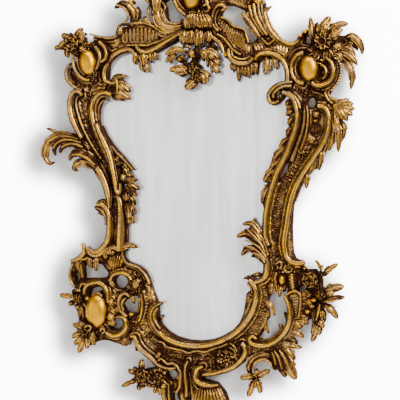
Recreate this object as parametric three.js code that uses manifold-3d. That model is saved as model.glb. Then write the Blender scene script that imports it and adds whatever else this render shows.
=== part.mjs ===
// An ornate rococo wall mirror: one carved and gilded wooden frame, a mirror plate
// and a backboard. Millimetres, +Z up. The wall is the plane y = 0 and the viewer
// stands on the -Y side. Points of the carving are [x, z] on the wall's plane, and
// a "front" is how far a form stands out from the wall.
import * as THREE from 'three';
import { mergeVertices } from 'three/addons/utils/BufferGeometryUtils.js';
import Module from 'manifold-3d';

const wasm = await Module();
wasm.setup();

// Driving dimensions: how far each kind of form stands out from the wall
const WEB_FRONT = 24; // the pierced board that all the carving grows from
const CARVING_BACK = 14; // back of the forms that reach over the glass or past the board
const RIB_FRONT = 34; // ridges of the shellwork
const LOW = 39; // side leaves and fringes
const BEAD_FRONT = 44; // crest of the gilded beads
const LEAF_FRONT = 46; // ordinary leaves
const RAISED = 51; // leaves and beads that lie over others
const PROUD = 56; // flutes below the crest
const BOSS_FRONT = 61; // smooth oval bosses
const BLOOM_FRONT = 70; // eyes of the big flowers
const CURLING = [40, 54, 45]; // a leaf that rises from its root and dips to its tip

// Driving dimensions: plates and their rebate
const GLASS_THICKNESS = 4;
const BOARD_THICKNESS = 6;
const FIT = 0.3; // gap between two pieces that touch
const REBATE_DEPTH = BOARD_THICKNESS + GLASS_THICKNESS + 2 * FIT;

// Shapes of the forms
const TIP_DROP = 14; // leaf tips of a flower lie this far behind its eye
const NOTCH_DROP = 22; // and the notches between them this far
const NOTCH = 0.76; // how far out the notches lie, as a share of the tips
const LEAF_POINT = 0.62; // height of a leaf's two ends, as a share of its crest
const THIN_BEAD = 12; // a bead that is narrower comes to an edge
const LARGE_DOME = 25; // a dome that is wider has more facets
const RIB_SHARE = 0.66; // width of a ridge, as a share of the step between ridges
const SEAT = 3; // how deep a ridge is set into the board

// How finely a carved line is cut into straight runs
const FINE_STEP = 4;
const LONGEST_RUN = 95;
const LONGEST_TURN = 0.8; // radians

// Closed solids from rings of points

function solidFromRings(rings) {
  const count = rings[0].length;
  const index = [];
  for (let i = 0; i < rings.length - 1; i += 1) {
    for (let k = 0; k < count; k += 1) {
      const a = i * count + k;
      const n = i * count + ((k + 1) % count);
      index.push(a, n, a + count, a + count, n, n + count);
    }
  }
  const end = (rings.length - 1) * count;
  for (let k = 1; k < count - 1; k += 1) {
    index.push(0, k + 1, k);
    index.push(end, end + k, end + k + 1);
  }
  return facingOut(geometryOf(rings.flat(), index));
}

// A closed solid that starts at one point, passes through rings and ends at another.
function solidBetweenPoints(first, rings, final) {
  const count = rings[0].length;
  const points = [first, ...rings.flat(), final];
  const index = [];
  const at = (ring, k) => 1 + ring * count + (k % count);
  for (let k = 0; k < count; k += 1) {
    index.push(0, at(0, k), at(0, k + 1));
    index.push(points.length - 1, at(rings.length - 1, k + 1), at(rings.length - 1, k));
    for (let i = 0; i < rings.length - 1; i += 1) {
      index.push(at(i, k), at(i + 1, k), at(i, k + 1));
      index.push(at(i, k + 1), at(i + 1, k), at(i + 1, k + 1));
    }
  }
  return facingOut(geometryOf(points, index));
}

function geometryOf(points, index) {
  const geometry = new THREE.BufferGeometry();
  geometry.setAttribute('position', new THREE.Float32BufferAttribute(
    points.flatMap((p) => [p.x, p.y, p.z]), 3));
  geometry.setIndex(index);
  return geometry;
}

function facingOut(geometry) {
  const p = geometry.attributes.position;
  const at = (i) => new THREE.Vector3().fromBufferAttribute(p, i);
  const index = geometry.index.array;
  let volume = 0;
  for (let i = 0; i < index.length; i += 3) {
    volume += at(index[i]).dot(at(index[i + 1]).cross(at(index[i + 2])));
  }
  if (volume < 0) {
    for (let i = 0; i < index.length; i += 3) {
      [index[i + 1], index[i + 2]] = [index[i + 2], index[i + 1]];
    }
  }
  return geometry;
}

function toManifold(geometry) {
  const bare = geometry.clone();
  bare.deleteAttribute('normal');
  bare.deleteAttribute('uv');
  const merged = mergeVertices(bare, 1e-4);
  return new wasm.Manifold(new wasm.Mesh({
    numProp: 3,
    vertProperties: merged.attributes.position.array,
    triVerts: new Uint32Array(merged.index.array),
  }));
}

function toGeometry(manifold) {
  const mesh = manifold.getMesh();
  const geometry = new THREE.BufferGeometry();
  geometry.setAttribute('position', new THREE.BufferAttribute(mesh.vertProperties, 3));
  geometry.setIndex(new THREE.BufferAttribute(mesh.triVerts, 1));
  return geometry;
}

// Lines on the wall's plane

// The smooth line through [x, z] points, cut where it has run or turned far enough.
function smoothLine(points) {
  const curve = new THREE.CatmullRomCurve3(
    points.map(([x, z]) => new THREE.Vector3(x, 0, z)), false, 'centripetal');
  const fine = curve.getSpacedPoints(Math.ceil(curve.getLength() / FINE_STEP));
  const line = [fine[0]];
  let turned = 0;
  for (let i = 1; i < fine.length - 1; i += 1) {
    const arriving = fine[i].clone().sub(fine[i - 1]);
    const leaving = fine[i + 1].clone().sub(fine[i]);
    turned += arriving.angleTo(leaving);
    const run = fine[i].distanceTo(line[line.length - 1]);
    if (turned > LONGEST_TURN || run > LONGEST_RUN) {
      line.push(fine[i]);
      turned = 0;
    }
  }
  const end = fine[fine.length - 1];
  if (line.length > 2 && end.distanceTo(line[line.length - 1]) < 3 * FINE_STEP) line.pop();
  if (line.length < 2) line.push(fine[Math.floor(fine.length / 2)]);
  line.push(end);
  return line;
}

// Direction across the line at point i.
function acrossAt(line, i) {
  const before = line[Math.max(i - 1, 0)];
  const after = line[Math.min(i + 1, line.length - 1)];
  const run = after.clone().sub(before).normalize();
  return new THREE.Vector3(-run.z, 0, run.x);
}

// A value that runs through [start, middle, end], or stays the same if it is one number.
function along(value, t) {
  if (!Array.isArray(value)) return value;
  const [start, middle, end] = value;
  return t < 0.5 ? start + (middle - start) * 2 * t : middle + (end - middle) * (2 * t - 1);
}

// Depth of a point at a fraction of the way from a form's back to its crest.
function depthAt(crest, fraction) {
  return -(CARVING_BACK + (crest - CARVING_BACK) * fraction);
}

// One ring of a carved line: its cross section is [across, depth] in fractions, where
// depth 0 is the back and 1 is the crest.
function ringAt(line, i, width, front, section) {
  const t = i / (line.length - 1);
  const half = along(width, t) / 2;
  const across = acrossAt(line, i);
  const crest = along(front, t);
  return section.map(([s, d]) => new THREE.Vector3(
    line[i].x + across.x * half * s, depthAt(crest, d), line[i].z + across.z * half * s));
}

// A bead is a rounded moulding that follows its line.
function bead(points, width, front = BEAD_FRONT) {
  const line = smoothLine(points);
  const thin = !Array.isArray(width) && width < THIN_BEAD;
  const section = thin ? [[-1, 0], [0, 1], [1, 0]] : [[-1, 0], [-0.55, 1], [0.55, 1], [1, 0]];
  return toManifold(solidFromRings(
    line.map((_, i) => ringAt(line, i, width, front, section))));
}

// A leaf has a ridge down its middle, thin sides and a point at both ends. Its line is
// given by few points, so they are used as they are.
function leaf(points, width, front = LEAF_FRONT) {
  const line = points.map(([x, z]) => new THREE.Vector3(x, 0, z));
  const section = [[0, 0], [-1, 0.55], [0, 1], [1, 0.55]];
  const end = line.length - 1;
  const rings = line.slice(1, end).map(
    (_, k) => ringAt(line, k + 1, width, front, section));
  const pointAt = (i) => new THREE.Vector3(
    line[i].x, depthAt(along(front, i / end), LEAF_POINT), line[i].z);
  const root = pointAt(0);
  const tip = pointAt(end);
  return toManifold(solidBetweenPoints(root, rings, tip));
}

// A frond is a long leaf that bends in a smooth curve.
function frond(points, width, front = LEAF_FRONT) {
  return leaf(smoothLine(points).map((p) => [p.x, p.z]), width, front);
}

// Petals or leaves that meet around one point: a star with a raised middle and
// notches between the tips, which are given in order around it.
function star(centre, tips, front) {
  const [cx, cz] = centre;
  const ring = tips.flatMap(([x, z], k) => {
    const [nx, nz] = tips[(k + 1) % tips.length];
    return [
      new THREE.Vector3(x, -(front - TIP_DROP), z),
      new THREE.Vector3(
        cx + ((x + nx) / 2 - cx) * NOTCH, -(front - NOTCH_DROP), cz + ((z + nz) / 2 - cz) * NOTCH),
    ];
  });
  return toManifold(solidBetweenPoints(
    new THREE.Vector3(cx, -CARVING_BACK, cz), [ring], new THREE.Vector3(cx, -front, cz)));
}

// A smooth oval swelling, tilted on the wall's plane.
function dome(centre, rx, rz, front, tilt = 0) {
  const large = rx > LARGE_DOME;
  const sides = large ? 12 : 6;
  const levels = large ? [[1, 0], [0.9, 0.6], [0.45, 1]] : [[1, 0], [0.6, 1]];
  const rings = levels.map(([r, d]) => disc([0, 0], rx * r, rz * r, sides).map(([u, v]) => (
    new THREE.Vector3(
      centre[0] + u * Math.cos(tilt) - v * Math.sin(tilt),
      -(CARVING_BACK + (front - CARVING_BACK) * d),
      centre[1] + u * Math.sin(tilt) + v * Math.cos(tilt)))));
  return toManifold(solidFromRings(rings));
}

// One ridge of the shellwork: a long low pyramid that stands on the board.
function rib(from, to, width, front) {
  const middle = from.clone().lerp(to, 0.5);
  const run = to.clone().sub(from).normalize();
  const across = new THREE.Vector3(-run.z, 0, run.x).multiplyScalar(width / 2);
  const base = [from, middle.clone().add(across), to, middle.clone().sub(across)];
  const seat = new THREE.Vector3(0, -(WEB_FRONT - SEAT), 0);
  return toManifold(solidBetweenPoints(
    middle.clone().setY(-(WEB_FRONT - 2 * SEAT)), [base.map((b) => b.clone().add(seat))],
    middle.clone().setY(-front)));
}

// Ridges across a hollow band, from one edge line to the other.
function ridges(edgeA, edgeB, count, front = RIB_FRONT) {
  const lineOf = (points) => new THREE.CatmullRomCurve3(
    points.map(([x, z]) => new THREE.Vector3(x, 0, z)), false, 'centripetal');
  const a = lineOf(edgeA);
  const b = lineOf(edgeB);
  const width = (a.getLength() / count) * RIB_SHARE;
  return Array.from({ length: count }, (_, k) => {
    const from = a.getPointAt((k + 0.5) / count);
    const to = b.getPointAt((k + 0.5) / count);
    return rib(from, to, width, front);
  });
}

// Flat boards

function board(outline, back, front) {
  const shape = new THREE.Shape(outline.map(([x, z]) => new THREE.Vector2(x, z)));
  const geometry = new THREE.ExtrudeGeometry(shape, { depth: front - back, bevelEnabled: false });
  geometry.rotateX(Math.PI / 2);
  geometry.translate(0, -back, 0);
  return toManifold(geometry);
}

// The same outline moved outwards by a distance, corner by corner.
function grown(outline, distance) {
  const area = THREE.ShapeUtils.area(outline.map(([x, z]) => new THREE.Vector2(x, z)));
  const side = area > 0 ? 1 : -1;
  return outline.map(([x, z], i) => {
    const before = outline[(i + outline.length - 1) % outline.length];
    const after = outline[(i + 1) % outline.length];
    const dx = after[0] - before[0];
    const dz = after[1] - before[1];
    const length = Math.hypot(dx, dz);
    return [x + (side * dz * distance) / length, z - (side * dx * distance) / length];
  });
}

function disc([cx, cz], rx, rz, sides = 10, turn = 0) {
  return Array.from({ length: sides }, (_, k) => {
    const a = turn + (k / sides) * Math.PI * 2;
    return [cx + rx * Math.cos(a), cz + rz * Math.sin(a)];
  });
}

// Edge of the opening in front of the glass
const OPENING = [
  [-20, 526], [-60, 530], [-150, 482], [-175, 473], [-200, 476], [-245, 490], [-272, 484],
  [-294, 470], [-307, 452], [-315, 370], [-322, 348], [-335, 325], [-342, 300], [-344, 272],
  [-340, 250], [-329, 225], [-284, 140], [-273, 110], [-264, 70], [-253, -40], [-252, -100],
  [-262, -165], [-258, -188], [-248, -203], [-203, -226], [-186, -246], [-143, -348],
  [-139, -380], [-130, -408], [-108, -430], [-78, -447], [-40, -457], [0, -459], [50, -452],
  [98, -430], [127, -398], [141, -365], [150, -302], [166, -288], [172, -272], [200, -252],
  [213, -236], [216, -212], [206, -90], [210, -40], [202, -12], [214, 14], [226, 52], [206, 58],
  [230, 76], [225, 90], [244, 106], [234, 121], [262, 146], [258, 167], [284, 184], [284, 200],
  [300, 222], [288, 239], [306, 258], [280, 273], [306, 286], [280, 300], [296, 322],
  [283, 340], [277, 358], [281, 405], [277, 424],
  [268, 438], [254, 450], [236, 458], [214, 459], [194, 448], [187, 404], [180, 428], [172, 404],
  [165, 424], [157, 394], [150, 422], [142, 400], [135, 422], [126, 384], [114, 428], [106, 414],
  [101, 447], [76, 486], [60, 503], [30, 522],
];

// Edge of the rebate that the glass and the backboard lie in, behind the opening
const REBATE_EDGE = [
  [-20, 538], [-62, 542], [-155, 495], [-200, 489], [-246, 502], [-280, 494], [-306, 476],
  [-320, 450], [-328, 370], [-348, 325], [-357, 272], [-340, 220], [-285, 110], [-265, -40],
  [-264, -100], [-274, -165], [-268, -192], [-210, -238], [-196, -255], [-155, -350],
  [-141, -412], [-115, -440], [-80, -459], [0, -471], [54, -463], [104, -440], [138, -402],
  [153, -365], [162, -306], [184, -276], [224, -240], [228, -210], [218, -90], [240, 32],
  [308, 200], [321, 262], [317, 310], [292, 350], [293, 405], [288, 430], [258, 461],
  [214, 471], [160, 444], [122, 446], [84, 492], [36, 532],
];

// Outer edge of the pierced board, clockwise from the top of the left column
const BOARD_EDGE = [
  [-150, 700], [-126, 692], [-108, 676], [-88, 676], [-50, 714], [-28, 720], [-4, 714], [16, 700],
  [95, 692], [150, 676], [198, 656], [214, 636], [209, 590], [214, 565], [226, 545], [268, 514],
  [292, 506], [312, 512], [362, 542], [430, 534], [462, 500], [452, 462], [456, 412],
  [448, 384], [420, 336], [430, 322], [458, 304], [460, 280], [436, 258], [426, 205], [324, 38],
  [304, -18], [293, -85], [293, -145], [297, -170], [308, -188], [336, -204], [334, -222],
  [378, -220], [398, -254], [398, -275], [410, -295], [412, -325], [390, -370], [352, -384],
  [344, -398], [326, -402], [272, -480], [264, -504], [228, -508], [192, -504], [176, -515],
  [166, -536], [154, -500], [142, -520], [112, -541], [80, -556], [14, -568], [10, -582],
  [56, -594], [82, -624], [92, -650], [92, -674], [76, -690], [0, -698], [-30, -692],
  [-86, -694], [-106, -678], [-128, -622], [-172, -598], [-206, -580], [-196, -558],
  [-150, -548], [-150, -532], [-196, -492], [-222, -450], [-232, -452], [-242, -480],
  [-326, -461], [-345, -466], [-380, -486], [-396, -480], [-416, -430], [-412, -400],
  [-424, -350], [-422, -297], [-439, -245], [-432, -220], [-402, -190], [-394, -172],
  [-350, -176], [-332, -168], [-318, -150], [-306, -90], [-308, -60], [-324, -20],
  [-312, -8], [-311, 10], [-326, 62], [-340, 88], [-402, 155], [-406, 208],
  [-428, 255], [-441, 315], [-440, 345], [-430, 374], [-454, 412], [-454, 435], [-430, 458],
  [-428, 478], [-458, 502], [-460, 528], [-440, 544], [-392, 544], [-392, 530], [-378, 523],
  [-366, 530], [-368, 544], [-300, 535], [-284, 544], [-278, 566], [-206, 588], [-182, 596],
  [-166, 580], [-160, 584], [-168, 612], [-174, 688],
];

// Where the board is pierced
const PIERCINGS = [
  [[-122, 650], [-114, 628], [-112, 602], [-100, 582], [-85, 578], [-60, 584], [-46, 600],
    [-106, 662]],
  [[84, 634], [110, 631], [150, 612], [136, 606], [142, 582], [184, 522], [176, 512],
    [163, 508], [148, 545], [114, 561], [100, 577], [72, 592], [70, 606]],
  [[340, 505], [358, 500], [358, 518], [346, 526]],
  disc([365, 312], 12, 16, 8),
  [[288, 124], [283, 98], [254, 60], [276, 112]],
  [[-392, -216], [-384, -208], [-328, -210], [-305, -240], [-304, -255], [-318, -262],
    [-388, -262]],
  disc([-265, -270], 22, 21, 8),
  [[-378, -308], [-372, -296], [-358, -290], [-345, -289], [-332, -296], [-374, -318]],
  [[-258, -345], [-250, -332], [-218, -316], [-207, -318], [-202, -355], [-208, -372],
    [-245, -366]],
  disc([-280, -407], 18, 18, 8),
  [[-431, -244], [-418, -246], [-414, -262], [-420, -275]],
  [[-112, -562], [-100, -556], [-84, -560], [-78, -575], [-92, -588], [-108, -580]],
  [[-92, -640], [-78, -634], [-66, -640], [-60, -662], [-70, -678], [-90, -676]],
  [[238, -286], [222, -322], [224, -370], [206, -425], [190, -446], [210, -450],
    [235, -444], [258, -426], [274, -402], [284, -372], [283, -345], [274, -318], [286, -284],
    [276, -275], [250, -290]],
  [[322, -285], [335, -274], [344, -276], [342, -292], [322, -296]],
];

// The carving, region by region

const upperLeftCorner = () => [
  dome([-380, 457], 29, 50, BOSS_FRONT, 0.1),
  bead([[-425, 475], [-421, 450], [-411, 425], [-396, 408], [-376, 401]], 9, RAISED),
  bead([[-338, 522], [-322, 506], [-314, 485], [-318, 466], [-336, 455]], 9, RAISED),
  bead([[-428, 456], [-445, 449], [-456, 430], [-455, 410], [-443, 392], [-422, 376],
    [-400, 366]], [8, 13, 8]),
  bead([[-376, 552], [-352, 543], [-325, 536], [-298, 534], [-282, 541]], [4, 11, 9], LOW),
  bead([[-304, 386], [-322, 396], [-325, 420], [-318, 445], [-305, 468], [-285, 485],
    [-262, 494], [-240, 496], [-225, 487], [-217, 472]], [12, 18, 10]),
  star([-430, 520], [[-380, 522], [-386, 545], [-399, 572], [-440, 554], [-471, 548],
    [-474, 520], [-498, 503], [-452, 474], [-424, 478], [-398, 498]], BLOOM_FRONT),
];

const upperLeftClutch = () => [
  star([-302, 366], [[-242, 334], [-242, 356], [-257, 388], [-250, 413], [-289, 433],
    [-325, 388], [-326, 348], [-289, 328], [-272, 326]], RAISED),
];

const topLeftShell = () => [
  frond([[-230, 574], [-220, 604], [-232, 628], [-255, 645], [-288, 636]], 32, CURLING),
  dome([-234, 652], 14, 10, RAISED),
  bead([[-213, 502], [-205, 491], [-188, 485], [-168, 488], [-148, 498], [-124, 512],
    [-98, 527], [-74, 540], [-50, 548]], [8, 14, 13]),
  bead([[-282, 544], [-276, 566], [-258, 574], [-238, 578], [-215, 586]], 10, BEAD_FRONT),
  ...ridges([[-268, 562], [-240, 570], [-200, 582], [-160, 566]],
    [[-258, 524], [-235, 516], [-205, 514], [-160, 520]], 5),
  star([-190, 484], [[-160, 492], [-190, 502], [-218, 494], [-226, 447], [-190, 421],
    [-172, 419], [-167, 447], [-147, 458]], RAISED),
  dome([-100, 545], 46, 17, LOW, 0.35),
];

const leftColumn = () => [
  bead([[-50, 572], [-85, 566], [-108, 578], [-124, 604], [-131, 640], [-128, 672]], 13, LOW),
  bead([[-136, 556], [-146, 590], [-148, 640], [-150, 690]], [22, 26, 14], RAISED),
  star([-148, 676], [[-106, 690], [-136, 714], [-186, 704], [-188, 656], [-128, 650]], PROUD),
];

const crest = () => [
  dome([-28, 660], 31, 45, BOSS_FRONT),
  bead([[-106, 672], [-88, 656], [-78, 635], [-64, 615], [-42, 598]], 11, RAISED),
  bead([[22, 596], [28, 624], [22, 650], [22, 678], [8, 706]], 14, RAISED),
  star([-28, 702], [[14, 700], [8, 728], [-28, 736], [-64, 724], [-68, 696], [-28, 676]], BOSS_FRONT),
  star([0, 582], [[32, 600], [16, 614], [0, 618], [-18, 614], [-34, 604], [-30, 562],
    [0, 552], [28, 562]], BOSS_FRONT),
  bead([[14, 700], [55, 694], [95, 685], [150, 668], [196, 650], [212, 632]], [9, 14, 12], LEAF_FRONT),
  ...ridges([[40, 692], [90, 680], [140, 666], [180, 650]],
    [[44, 652], [90, 644], [130, 635], [165, 628]], 4),
  dome([190, 640], 17, 15, RAISED),
  bead([[84, 622], [68, 631], [50, 620], [42, 598], [42, 576], [50, 556], [66, 542]],
    [14, 12, 8], LEAF_FRONT),
];

const hangingFlowers = () => [
  leaf([[-52, 566], [-54, 532], [-50, 502]], 20, PROUD),
  leaf([[-34, 566], [-36, 532], [-34, 500]], 18, PROUD),
  leaf([[-14, 566], [-14, 530], [-8, 494]], 20, BOSS_FRONT),
  leaf([[6, 562], [6, 530], [4, 500]], 18, PROUD),
  leaf([[24, 560], [29, 534], [26, 510]], 18, PROUD),
  leaf([[-8, 540], [-26, 465], [-10, 380]], 22, RAISED),
  star([-50, 470], [[-20, 478], [-24, 496], [-52, 502], [-88, 496], [-114, 474], [-112, 448],
    [-92, 450], [-48, 438], [-25, 448]], BLOOM_FRONT),
  star([-42, 426], [[-14, 412], [-16, 440], [-50, 450], [-80, 436], [-98, 421], [-62, 404],
    [-36, 400]], BOSS_FRONT),
  star([-8, 398], [[36, 400], [20, 418], [-2, 432], [-24, 422], [-48, 386], [-42, 357],
    [-6, 374], [18, 373]], BOSS_FRONT),
  star([28, 470], [[67, 455], [44, 488], [4, 488], [8, 450], [28, 433], [42, 410], [66, 412],
    [66, 434]], BOSS_FRONT),
  bead([[22, 534], [28, 505], [28, 470]], 11, LOW),
];

const topRightBand = () => [
  bead([[62, 596], [95, 580], [114, 562], [138, 553], [150, 536], [160, 510]], 9, LOW),
  bead([[30, 538], [50, 527], [65, 513], [76, 496], [84, 478]], [8, 14, 14], BEAD_FRONT),
  bead([[95, 490], [96, 470], [106, 454], [122, 443], [142, 438], [160, 441], [182, 460]],
    [10, 15, 12], LEAF_FRONT),
  bead([[182, 450], [186, 462], [200, 469], [220, 471], [243, 467], [262, 457], [278, 441],
    [288, 422], [290, 400], [287, 374]], [10, 14, 12], LEAF_FRONT),
  ...ridges([[72, 586], [100, 568], [135, 544], [150, 516], [165, 500]],
    [[64, 550], [90, 526], [106, 500], [122, 476], [150, 464]], 6),
  ...ridges([[182, 508], [210, 500], [258, 498]], [[182, 474], [210, 480], [258, 474]], 3),
  leaf([[194, 526], [168, 562], [137, 608]], 21, BEAD_FRONT),
  leaf([[158, 634], [178, 582], [206, 548], [242, 514]], 18, BEAD_FRONT),
  bead([[210, 618], [210, 590], [217, 562], [232, 541], [256, 521], [286, 506]], [14, 15, 12], LEAF_FRONT),
  leaf([[218, 474], [219, 432], [210, 404]], 26, LOW),
  leaf([[238, 470], [244, 444], [248, 421]], 18, LOW),
];

const upperRightCorner = () => [
  dome([362, 422], 37, 44, BOSS_FRONT),
  bead([[322, 482], [306, 470], [298, 448], [297, 424], [303, 402], [316, 384], [338, 371]], 13, RAISED),
  bead([[412, 452], [432, 436], [441, 410], [436, 385], [420, 365], [395, 354], [373, 358],
    [366, 372]], [9, 15, 12], RAISED),
  bead([[262, 514], [285, 501], [303, 497], [318, 506], [334, 526]], [9, 14, 12], LEAF_FRONT),
  star([402, 506], [[454, 510], [462, 536], [481, 559], [434, 560], [420, 581], [384, 566],
    [356, 585], [364, 532], [344, 488], [376, 466], [386, 432], [400, 430], [416, 444],
    [450, 438]], BLOOM_FRONT),
  star([462, 486], [[458, 438], [509, 425], [502, 454], [512, 470], [484, 508], [464, 516],
    [438, 506], [432, 470]], BOSS_FRONT),
  frond([[462, 500], [496, 511], [514, 494], [524, 476], [526, 459]], 28, CURLING),
  frond([[458, 478], [478, 432], [490, 405], [493, 378], [485, 350]], 24, LEAF_FRONT),
  bead([[446, 446], [457, 420], [453, 388], [428, 350]], 9, LOW),
];

const rightUpright = () => [
  frond([[292, 386], [262, 372], [238, 356], [226, 334], [236, 316], [256, 316], [264, 328]], 17, BEAD_FRONT),
  bead([[270, 346], [290, 338], [303, 325], [312, 305], [317, 280], [317, 255], [312, 230],
    [304, 200], [294, 170], [283, 148], [268, 120], [253, 90], [243, 60], [234, 30],
    [226, 0], [220, -30], [216, -60], [215, -90], [216, -120], [224, -146]], [12, 15, 14]),
  bead([[290, 350], [312, 334], [328, 312], [336, 288], [338, 260], [335, 230], [325, 200],
    [312, 170], [300, 140], [291, 118]], [8, 11, 8], LOW),
  bead([[384, 300], [405, 297], [415, 285], [421, 265], [422, 240], [417, 215], [406, 190],
    [390, 165], [374, 140], [355, 115], [339, 90], [324, 65], [311, 40], [302, 15],
    [293, -15], [288, -45], [283, -80], [278, -110], [275, -140], [277, -160], [284, -182],
    [298, -197], [318, -202], [340, -199]], [12, 15, 14]),
  ...ridges([[350, 240], [338, 190], [312, 130], [284, 60], [262, 0], [250, -60], [246, -120],
    [252, -180]],
  [[408, 240], [396, 195], [360, 140], [318, 80], [294, 20], [279, -40], [272, -100],
    [270, -160]], 12),
  dome([376, 264], 12, 9, BEAD_FRONT),
  bead([[404, 354], [410, 334], [424, 316], [448, 308]], 12, BEAD_FRONT),
  star([446, 288], [[430, 258], [474, 256], [488, 272], [489, 290], [484, 308], [464, 319],
    [434, 312], [424, 288]], LEAF_FRONT),
  leaf([[432, 285], [440, 225], [447, 151]], 28, LEAF_FRONT),
  leaf([[436, 280], [460, 240], [463, 198]], 20, BEAD_FRONT),
  leaf([[428, 250], [432, 205], [418, 158]], 22, BEAD_FRONT),
  leaf([[412, 210], [408, 175], [394, 138]], 20, LOW),
  leaf([[390, 165], [390, 128], [386, 94]], 20, LOW),
  leaf([[370, 136], [366, 108], [352, 80]], 18, LOW),
  leaf([[342, 96], [346, 65], [345, 36]], 18, LOW),
];

const leftUpright = () => [
  bead([[-302, 350], [-325, 355], [-345, 345], [-357, 325], [-362, 300], [-360, 275],
    [-352, 250], [-342, 225], [-330, 200], [-318, 175], [-307, 150], [-300, 130],
    [-292, 100], [-285, 60], [-277, 20], [-271, -20], [-268, -60], [-268, -100],
    [-269, -130], [-270, -160]], [14, 20, 28]),
  bead([[-404, 342], [-424, 360], [-437, 348], [-441, 325], [-440, 300], [-434, 275],
    [-425, 250], [-412, 225], [-398, 202]], [9, 15, 10]),
  bead([[-404, 210], [-396, 180], [-370, 150], [-350, 120], [-335, 88], [-322, 60],
    [-313, 35], [-307, 10], [-302, -30]], [8, 18, 9]),
  ...ridges([[-410, 320], [-404, 280], [-388, 230], [-352, 170], [-325, 120], [-305, 60]],
    [[-376, 320], [-374, 280], [-362, 230], [-334, 170], [-312, 120], [-296, 60]], 7),
  frond([[-390, 196], [-440, 222], [-470, 228], [-505, 222], [-532, 202], [-547, 175],
    [-542, 138], [-522, 121], [-504, 126]], 36, CURLING),
  leaf([[-484, 222], [-508, 234], [-529, 241]], 11, LEAF_FRONT),
  frond([[-386, 182], [-440, 206], [-475, 206], [-498, 192], [-506, 172], [-502, 150]], 26, CURLING),
  frond([[-380, 164], [-432, 194], [-460, 192], [-478, 178], [-485, 158]], 22, CURLING),
  frond([[-346, 116], [-385, 152], [-420, 166], [-442, 154], [-455, 131]], 30, CURLING),
  frond([[-336, 92], [-366, 124], [-400, 133], [-428, 124], [-435, 106], [-424, 97]], 30, CURLING),
  leaf([[-318, 26], [-336, 70], [-362, 97]], 13, LOW),
  bead([[-352, -10], [-330, -14], [-317, -24], [-309, -42], [-304, -65], [-304, -95],
    [-308, -122], [-318, -144], [-332, -162], [-350, -172], [-366, -170], [-380, -156]],
    [15, 14, 10], BEAD_FRONT),
  leaf([[-306, -66], [-330, -42], [-362, -24]], 15, LOW),
  leaf([[-338, 246], [-322, 212], [-300, 176], [-268, 140], [-222, 96]], 16, LOW),
  star([-272, 105], [[-248, 110], [-262, 130], [-296, 152], [-296, 95], [-274, 46],
    [-244, 70]], RAISED),
  star([-242, 38], [[-212, 34], [-218, 66], [-242, 72], [-264, 82], [-270, 24], [-252, -12],
    [-224, -12]], RAISED),
  star([-244, -28], [[-221, -24], [-226, 14], [-258, 12], [-262, -40], [-243, -81],
    [-227, -78]], RAISED),
];

const lowerLeft = () => [
  leaf([[-286, -170], [-250, -150], [-213, -157]], 20, BEAD_FRONT),
  bead([[-395, -141], [-391, -166], [-402, -186], [-428, -206], [-441, -238], [-438, -268],
    [-420, -298]], [7, 12, 9], BEAD_FRONT),
  leaf([[-394, -186], [-408, -225], [-404, -278]], 26, LEAF_FRONT),
  bead([[-404, -206], [-378, -192], [-350, -184], [-322, -172], [-298, -162], [-270, -150]],
    [9, 15, 13], BEAD_FRONT),
  leaf([[-346, -180], [-346, -212], [-354, -235]], 18, BEAD_FRONT),
  ...ridges([[-300, -175], [-302, -205], [-300, -246]], [[-264, -182], [-254, -212], [-238, -236]],
    3),
  ...ridges([[-226, -232], [-204, -258], [-190, -310], [-186, -395]],
    [[-226, -256], [-216, -276], [-206, -330], [-206, -410]], 5),
  bead([[-302, -266], [-293, -248], [-275, -240], [-250, -243], [-228, -256]], 8, BEAD_FRONT),
  bead([[-392, -312], [-386, -288], [-368, -276], [-345, -273], [-326, -284], [-314, -305],
    [-309, -338]], [10, 15, 12], RAISED),
  dome([-345, -370], 35, 60, BOSS_FRONT),
  bead([[-406, -345], [-400, -358], [-398, -376], [-404, -402]], 14, LEAF_FRONT),
  star([-412, -326], [[-386, -322], [-398, -300], [-426, -290], [-474, -314], [-450, -347],
    [-420, -360], [-390, -346]], BLOOM_FRONT),
  bead([[-236, -316], [-254, -309], [-268, -318], [-273, -338], [-268, -360], [-250, -384]],
    [9, 15, 9], RAISED),
  bead([[-274, -392], [-253, -395], [-246, -412], [-256, -430], [-278, -442], [-312, -448]],
    [8, 15, 10], RAISED),
  ...ridges([[-345, -448], [-290, -450], [-244, -432]], [[-350, -464], [-292, -466], [-246, -474]],
    3),
  star([-296, -362], [[-276, -360], [-284, -336], [-306, -334], [-322, -362], [-310, -392],
    [-284, -384]], RAISED),
  star([-392, -445], [[-348, -440], [-370, -410], [-400, -406], [-424, -413], [-437, -456],
    [-427, -488], [-410, -509], [-382, -493], [-354, -480]], BOSS_FRONT),
];

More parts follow.
